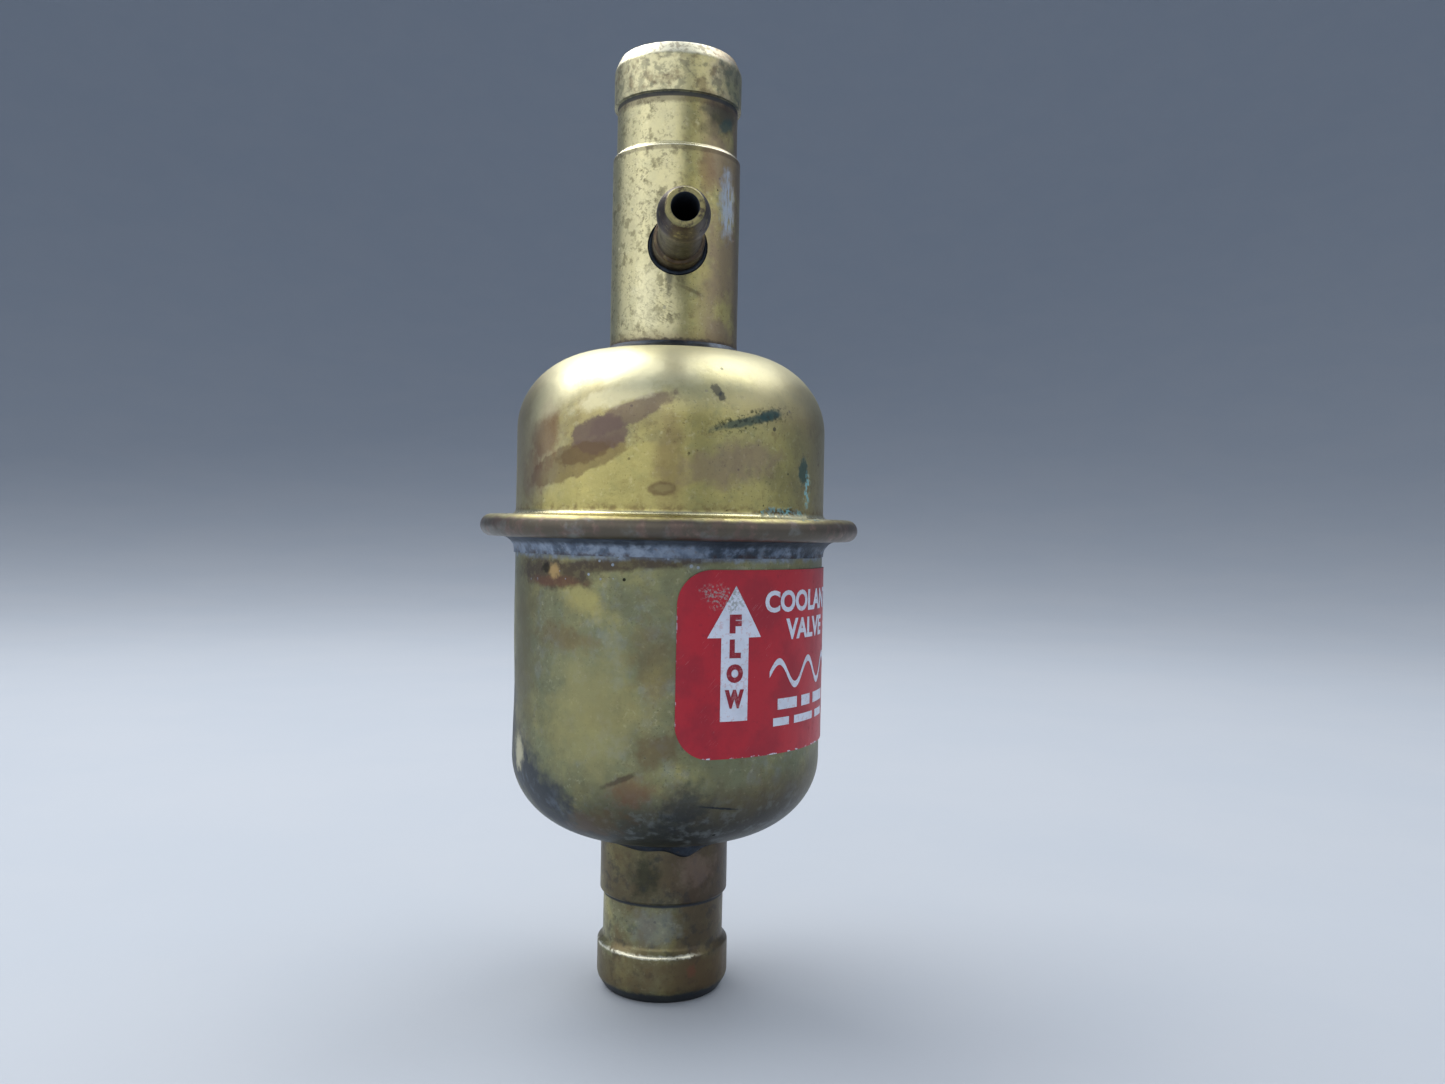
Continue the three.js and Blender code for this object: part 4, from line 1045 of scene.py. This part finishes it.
def nipple_finish():
    f = Finish("nipple_bronze", BRONZE, 0.36)
    f.coat(f.mottle(2.2, 0.42, 0.62), BURNT_AND_SHADE, 0.8, 0.45)
    f.coat(f.mottle(0.8, 0.55, 0.68, at=3), OLIVE, 0.4, 0.35)
    f.coat(f.mottle(0.5, 0.58, 0.68, at=8), SOOT_AND_SHADE, 0.7, 0.6, lift=-0.01)
    tip = f.step(f.wavering(f.y, 0.1, 0.8), -NIPPLE_TIP + 0.3, -NIPPLE_TIP + 0.1)
    f.coat(f.both(tip, f.mottle(0.8, 0.35, 0.55, at=6)), OLIVE, 0.6, 0.42)
    barb = f.both(f.step(f.y, -26.2, -25.4), f.step(f.y, -24, -24.8))
    f.coat(f.both(barb, f.mottle(0.9, 0.4, 0.55, at=2)), MAUVE, 0.6, 0.35)
    shoulder = f.both(f.step(f.y, -13.9, -13.2), f.step(f.y, -9, -9.6))
    # Soot and painted shade: the nipple's foot made darker
    f.coat(shoulder, BROWN, 0.5, 0.45)
    f.coat(f.both(shoulder, f.mottle(1.2, 0.4, 0.6, at=12)), DARK, 0.6, 0.55)
    # Painted shade: the inside of the bore made dark
    height = f.math("SUBTRACT", f.height, NIPPLE_HEIGHT)
    across = f.add("ShaderNodeCombineXYZ", {0: f.x, 1: height}).outputs[0]
    f.coat(f.step(f.vector("LENGTH", across), 1.88, 1.82), SOOT_AND_SHADE, 1, 0.8, metal=0.5)
    f.raise_by(f.noise(0.4), 0.015)
    return f.done()


def solder_finish(name, colour, powder, soot):
    f = Finish(name, colour, 0.45, metal=0.9)
    f.coat(f.mottle(3.4, 0.44, 0.66, at=1), POWDER, powder, 0.8, metal=0.2, lift=0.03)
    f.coat(f.mottle(2.2, 0.46, 0.68, at=7), SOOT_AND_SHADE, soot, 0.6, metal=0.6)
    f.coat(f.mottle(0.7, 0.56, 0.7, at=17), BROWN, 0.4, 0.6)
    f.raise_by(f.noise(0.7, 5, 0.7), 0.05)
    return f


def seam_solder_finish():
    f = solder_finish("seam_solder_grey", SOLDER, powder=0.45, soot=0.5)
    # Flux powder and painted light: the left side made chalky and paler
    chalky_lit_side = f.both(f.sector(-60, 0, 14), f.mottle(1.8, 0.42, 0.6, at=4))
    f.coat(chalky_lit_side, POWDER, 0.75, 0.9, metal=0, lift=0.05)
    # Painted shade: the right side of the solder made darker
    f.coat(f.both(f.sector(8, 90, 10), f.mottle(1.5, 0.35, 0.6, at=2)), SOOT_AND_SHADE, 0.85, 0.55)
    # Painted shade: a dark band under the hem's fold
    f.coat(f.band(HEM_BOTTOM - 0.8, HEM_BOTTOM + 0.6, 0.35, 0.2, 1), SOOT_AND_SHADE, 0.8, 0.7, metal=0.5)
    f.coat(f.both(f.band(60, 65, 0.3, 0.4, 1.4), f.mottle(2.2, 0.48, 0.6, at=9)), BURNT_AND_SHADE, 0.7, 0.6)
    return f.done()


def label_red_finish():
    f = Finish("label_red_print", LABEL_RED, 0.38, metal=0)
    f.coat(f.mottle(6, 0.4, 0.65), LABEL_DEEP_RED, 0.7, 0.45)
    f.coat(f.mottle(1, 0.58, 0.7, at=2), LABEL_DEEP_RED, 0.6, 0.55)
    scuffs = f.step(f.grain(3, 0.07, 48, at=3, detail=2), 0.66, 0.71)
    f.coat(f.both(scuffs, f.mottle(4, 0.5, 0.6, at=6)), LABEL_PINK, 0.6, 0.6)
    low_edge = f.band(30, LABEL_LOW.z + 0.16, 0.08, 0.12, 1)
    edge = f.either(low_edge, f.sector(-3, LABEL_START + 0.12, 0.25, 0.25, 1))
    f.coat(f.both(edge, f.mottle(1.1, 0.54, 0.58, at=5)), LABEL_WHITE, 0.9, 0.7)
    scratch = f.both(f.patch(15, 59.5, 2.6, 1.5, -20, 0.6, 1), f.mottle(0.35, 0.5, 0.58, at=8))
    f.coat(scratch, GREY_FILM, 0.7, 0.7)
    f.coat(f.specks(3.2, 0.3, 0.05, at=1), LABEL_WHITE, 0.9, 0.7)
    f.raise_by(f.noise(2.5), 0.05)
    f.raise_by(f.noise(0.3), 0.008)
    return f.done()


def label_ink_finish(name, colour, worn):
    f = Finish(name, colour, 0.42, metal=0)
    f.coat(f.mottle(3, 0.4, 0.7, at=2), tuple(0.8 * c for c in colour), 0.6)
    f.coat(f.mottle(0.6, 0.56, 0.62, at=5), LABEL_PINK, worn, 0.6)
    scrape = f.both(f.patch(20, 59.4, 2.4, 1.6, 30, 0.5, 1), f.mottle(0.4, 0.48, 0.55, at=8))
    f.coat(scrape, GREY_FILM, 0.8, 0.7)
    f.raise_by(f.noise(1), 0.01)
    return f.done()


def plain_finish(name, colour, roughness, metal, stain, grain=0.4):
    """A clean inner piece: faint stains and grain."""
    f = Finish(name, colour, roughness, metal)
    f.coat(f.mottle(4, 0.45, 0.7), stain, 0.6, min(1, roughness + 0.15))
    f.coat(f.mottle(0.8, 0.55, 0.7, at=5), stain, 0.4)
    f.raise_by(f.noise(grain), 0.015)
    return f.done()


def floor_finish():
    f = Finish("pale_floor", (0.46, 0.49, 0.53), 0.6, metal=0)
    f.coat(f.mottle(90, 0.35, 0.65), (0.43, 0.47, 0.52), 0.5)
    f.raise_by(f.noise(1.5), 0.03)
    return f.done()


# ---- assembly


def place(piece, slot, material, *nodes):
    """Dresses a new piece that rides on the housing and stands in for these CAD nodes, if any."""
    piece.data.materials.clear()
    piece.data.materials.append(material)
    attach(piece, "housing")
    if nodes:
        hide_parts(*nodes)
    return piece


def smooth_round_faces(mesh):
    """Normals that run smoothly over rounded faces, though no two faces share a vertex."""
    meeting = {}
    spots = [tuple(round(c, 7) for c in v.co) for v in mesh.vertices]
    for face in mesh.polygons:
        for v in face.vertices:
            meeting.setdefault(spots[v], []).append(face)
    least = cos(radians(SHARP_CAD_DEGREES))
    normals = []
    for face in mesh.polygons:
        for v in face.vertices:
            near = [other for other in meeting[spots[v]] if face.normal.dot(other.normal) > least]
            normals.append(sum((other.normal * other.area for other in near), Vector()).normalized())
    mesh.polygons.foreach_set("use_smooth", [True] * len(mesh.polygons))
    mesh.normals_split_custom_set(normals)


def dress(material, *nodes):
    """Gives CAD nodes that stay smooth round faces and a material."""
    for node in nodes:
        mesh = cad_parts[node].data
        smooth_round_faces(mesh)
        mesh.materials.clear()
        mesh.materials.append(material)


def build_housing():
    solder = solder_finish("joint_solder_grey", SOOT_AND_SHADE, powder=0.4, soot=0.7).done()
    dark_solder = solder_finish("inlet_solder_dark", SOOT_AND_SHADE, powder=0.1, soot=0.9).done()
    place(upper_shell(), "shell_brass", upper_shell_finish(), "upper_shell")
    place(lower_shell(), "shell_brass", lower_shell_finish(), "lower_shell")
    place(outlet_neck(), "neck_brass", outlet_neck_finish(), "outlet_neck")
    place(inlet_neck(), "inlet_brass", inlet_neck_finish(), "inlet_neck")
    place(vent_nipple(), "nipple_bronze", nipple_finish(), "vent_nipple")
    place(outlet_solder(), "solder", solder, "outlet_solder")
    place(inlet_solder(), "solder", dark_solder, "inlet_solder")
    place(seam_solder(), "solder", seam_solder_finish(), "seam_solder")
    place(nipple_solder(), "solder", dark_solder, "nipple_solder")


def build_label():
    white = label_ink_finish("label_white_ink", LABEL_WHITE, worn=0.4)
    red_ink = label_ink_finish("label_red_ink", LABEL_DEEP_RED, worn=0.3)
    place(label_film(), "label", label_red_finish(), "flow_label")
    for piece in [label_arrow(), label_wave()] + label_words() + label_rules():
        place(piece, "label", white)
    for piece in flow_letters():
        place(piece, "label", red_ink)


def build_thermostat():
    steel = plain_finish("stainless_steel", STEEL, 0.32, 1, srgb(146, 146, 142))
    wire = plain_finish("spring_wire", srgb(172, 172, 172), 0.3, 1, srgb(130, 124, 118), 0.25)
    brass = plain_finish("inner_brass", srgb(196, 176, 122), 0.35, 1, srgb(154, 128, 88))
    copper = plain_finish("element_copper", COPPER, 0.38, 1, srgb(144, 96, 74))
    plastic = plain_finish("washer_plastic", WHITE_PLASTIC, 0.5, 0, srgb(216, 212, 204))
    rubber = plain_finish("boot_rubber", RUBBER, 0.75, 0, srgb(62, 62, 62))
    wax = plain_finish("filled_wax", WAX, 0.55, 0, srgb(188, 144, 96))
    dress(brass, "valve_seat", "bridge", "rivet_left", "rivet_right")
    dress(brass, "valve_disc", "element_guide", "jiggle_pin")
    dress(steel, "lower_frame", "piston")
    dress(copper, "element_cup")
    dress(plastic, "piston_washer")
    dress(rubber, "rubber_boot")
    dress(wax, "wax_charge")
    spring = place(main_spring(), "spring_steel", wire, "main_spring")
    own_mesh(spring)


# ---- studio


CAMERA_DISTANCE = 174.8  # from the axis of flow
CAMERA_HEIGHT = 68.8
CAMERA_SIDE = 2.2  # degrees to the left of the nipple's direction
CAMERA_YAW = 2.6  # degrees that the camera looks to the right of the object
CAMERA_PITCH = -0.75
CAMERA_ROLL = 1.12
CAMERA_LENS = 28.88
LIGHTS_AIM = 70  # height of the middle, which all lights face


def camera():
    data = bpy.data.cameras.new("camera")
    data.sensor_width = 36
    data.lens = CAMERA_LENS
    data.clip_start = 0.005
    piece = in_scene("camera", data)
    side = radians(CAMERA_SIDE)
    spot = Vector((-sin(side), -cos(side), 0)) * CAMERA_DISTANCE * MM
    spot.z = CAMERA_HEIGHT * MM
    heading = Matrix.Rotation(-side - radians(CAMERA_YAW), 4, "Z")
    pitch = Matrix.Rotation(pi / 2 + radians(CAMERA_PITCH), 4, "X")
    roll = Matrix.Rotation(radians(CAMERA_ROLL), 4, "Z")
    piece.matrix_world = Matrix.Translation(spot) @ heading @ pitch @ roll
    bpy.context.scene.camera = piece


def area_light(name, azimuth, elevation, distance, size, power):
    """A soft light, with distance and size in metres, aimed at the object's middle."""
    data = bpy.data.lights.new(name, "AREA")
    data.shape = "RECTANGLE"
    data.size, data.size_y = size
    data.energy = power
    piece = in_scene(name, data)
    a, e = radians(azimuth), radians(elevation)
    back = Vector((sin(a) * cos(e), -cos(a) * cos(e), sin(e)))
    piece.location = Vector((0, 0, LIGHTS_AIM * MM)) + back * distance
    piece.rotation_euler = (-back).to_track_quat("-Z", "Y").to_euler()
    piece.visible_camera = False


def studio():
    area_light("back_left", -128, 55, 0.8, (0.85, 0.45), 5.2)
    area_light("back_right", 120, 58, 0.8, (0.6, 0.45), 2.2)
    area_light("overhead", 180, 84, 0.9, (0.9, 0.6), 2.2)
    area_light("side_left", -88, 17, 1, (0.9, 0.8), 1.7)
    area_light("side_right", 100, 20, 1, (0.8, 0.5), 0.35)
    area_light("front_left", -32, 24, 1, (1.6, 0.8), 4.2)
    area_light("front_right", 52, 24, 1.1, (1.1, 0.8), 2.1)
    world = bpy.data.worlds.new("studio_air")
    world.use_nodes = True
    background = world.node_tree.nodes["Background"]
    background.inputs["Color"].default_value = (0.62, 0.74, 0.95, 1)
    background.inputs["Strength"].default_value = 0.45
    bpy.context.scene.world = world
    bpy.context.scene.view_settings.view_transform = "Standard"


def floor():
    """A round floor that curves up into a low wall, the same from every side."""
    flat, bend, wall, thick = 600, 2400, 3000, 20
    inside, outside = flat + bend, flat + bend + thick
    outline = [(0, 0)] + arc((flat, bend), (bend, bend), -90, 0, 24)
    outline += [(inside, wall), (outside, wall), (outside, -thick), (0, -thick)]
    piece = finished_object("studio_floor", turned_mesh(outline, SMALL_SEGMENTS))
    piece.data.materials.append(floor_finish())


build_housing()
build_label()
build_thermostat()
camera()
studio()
floor()
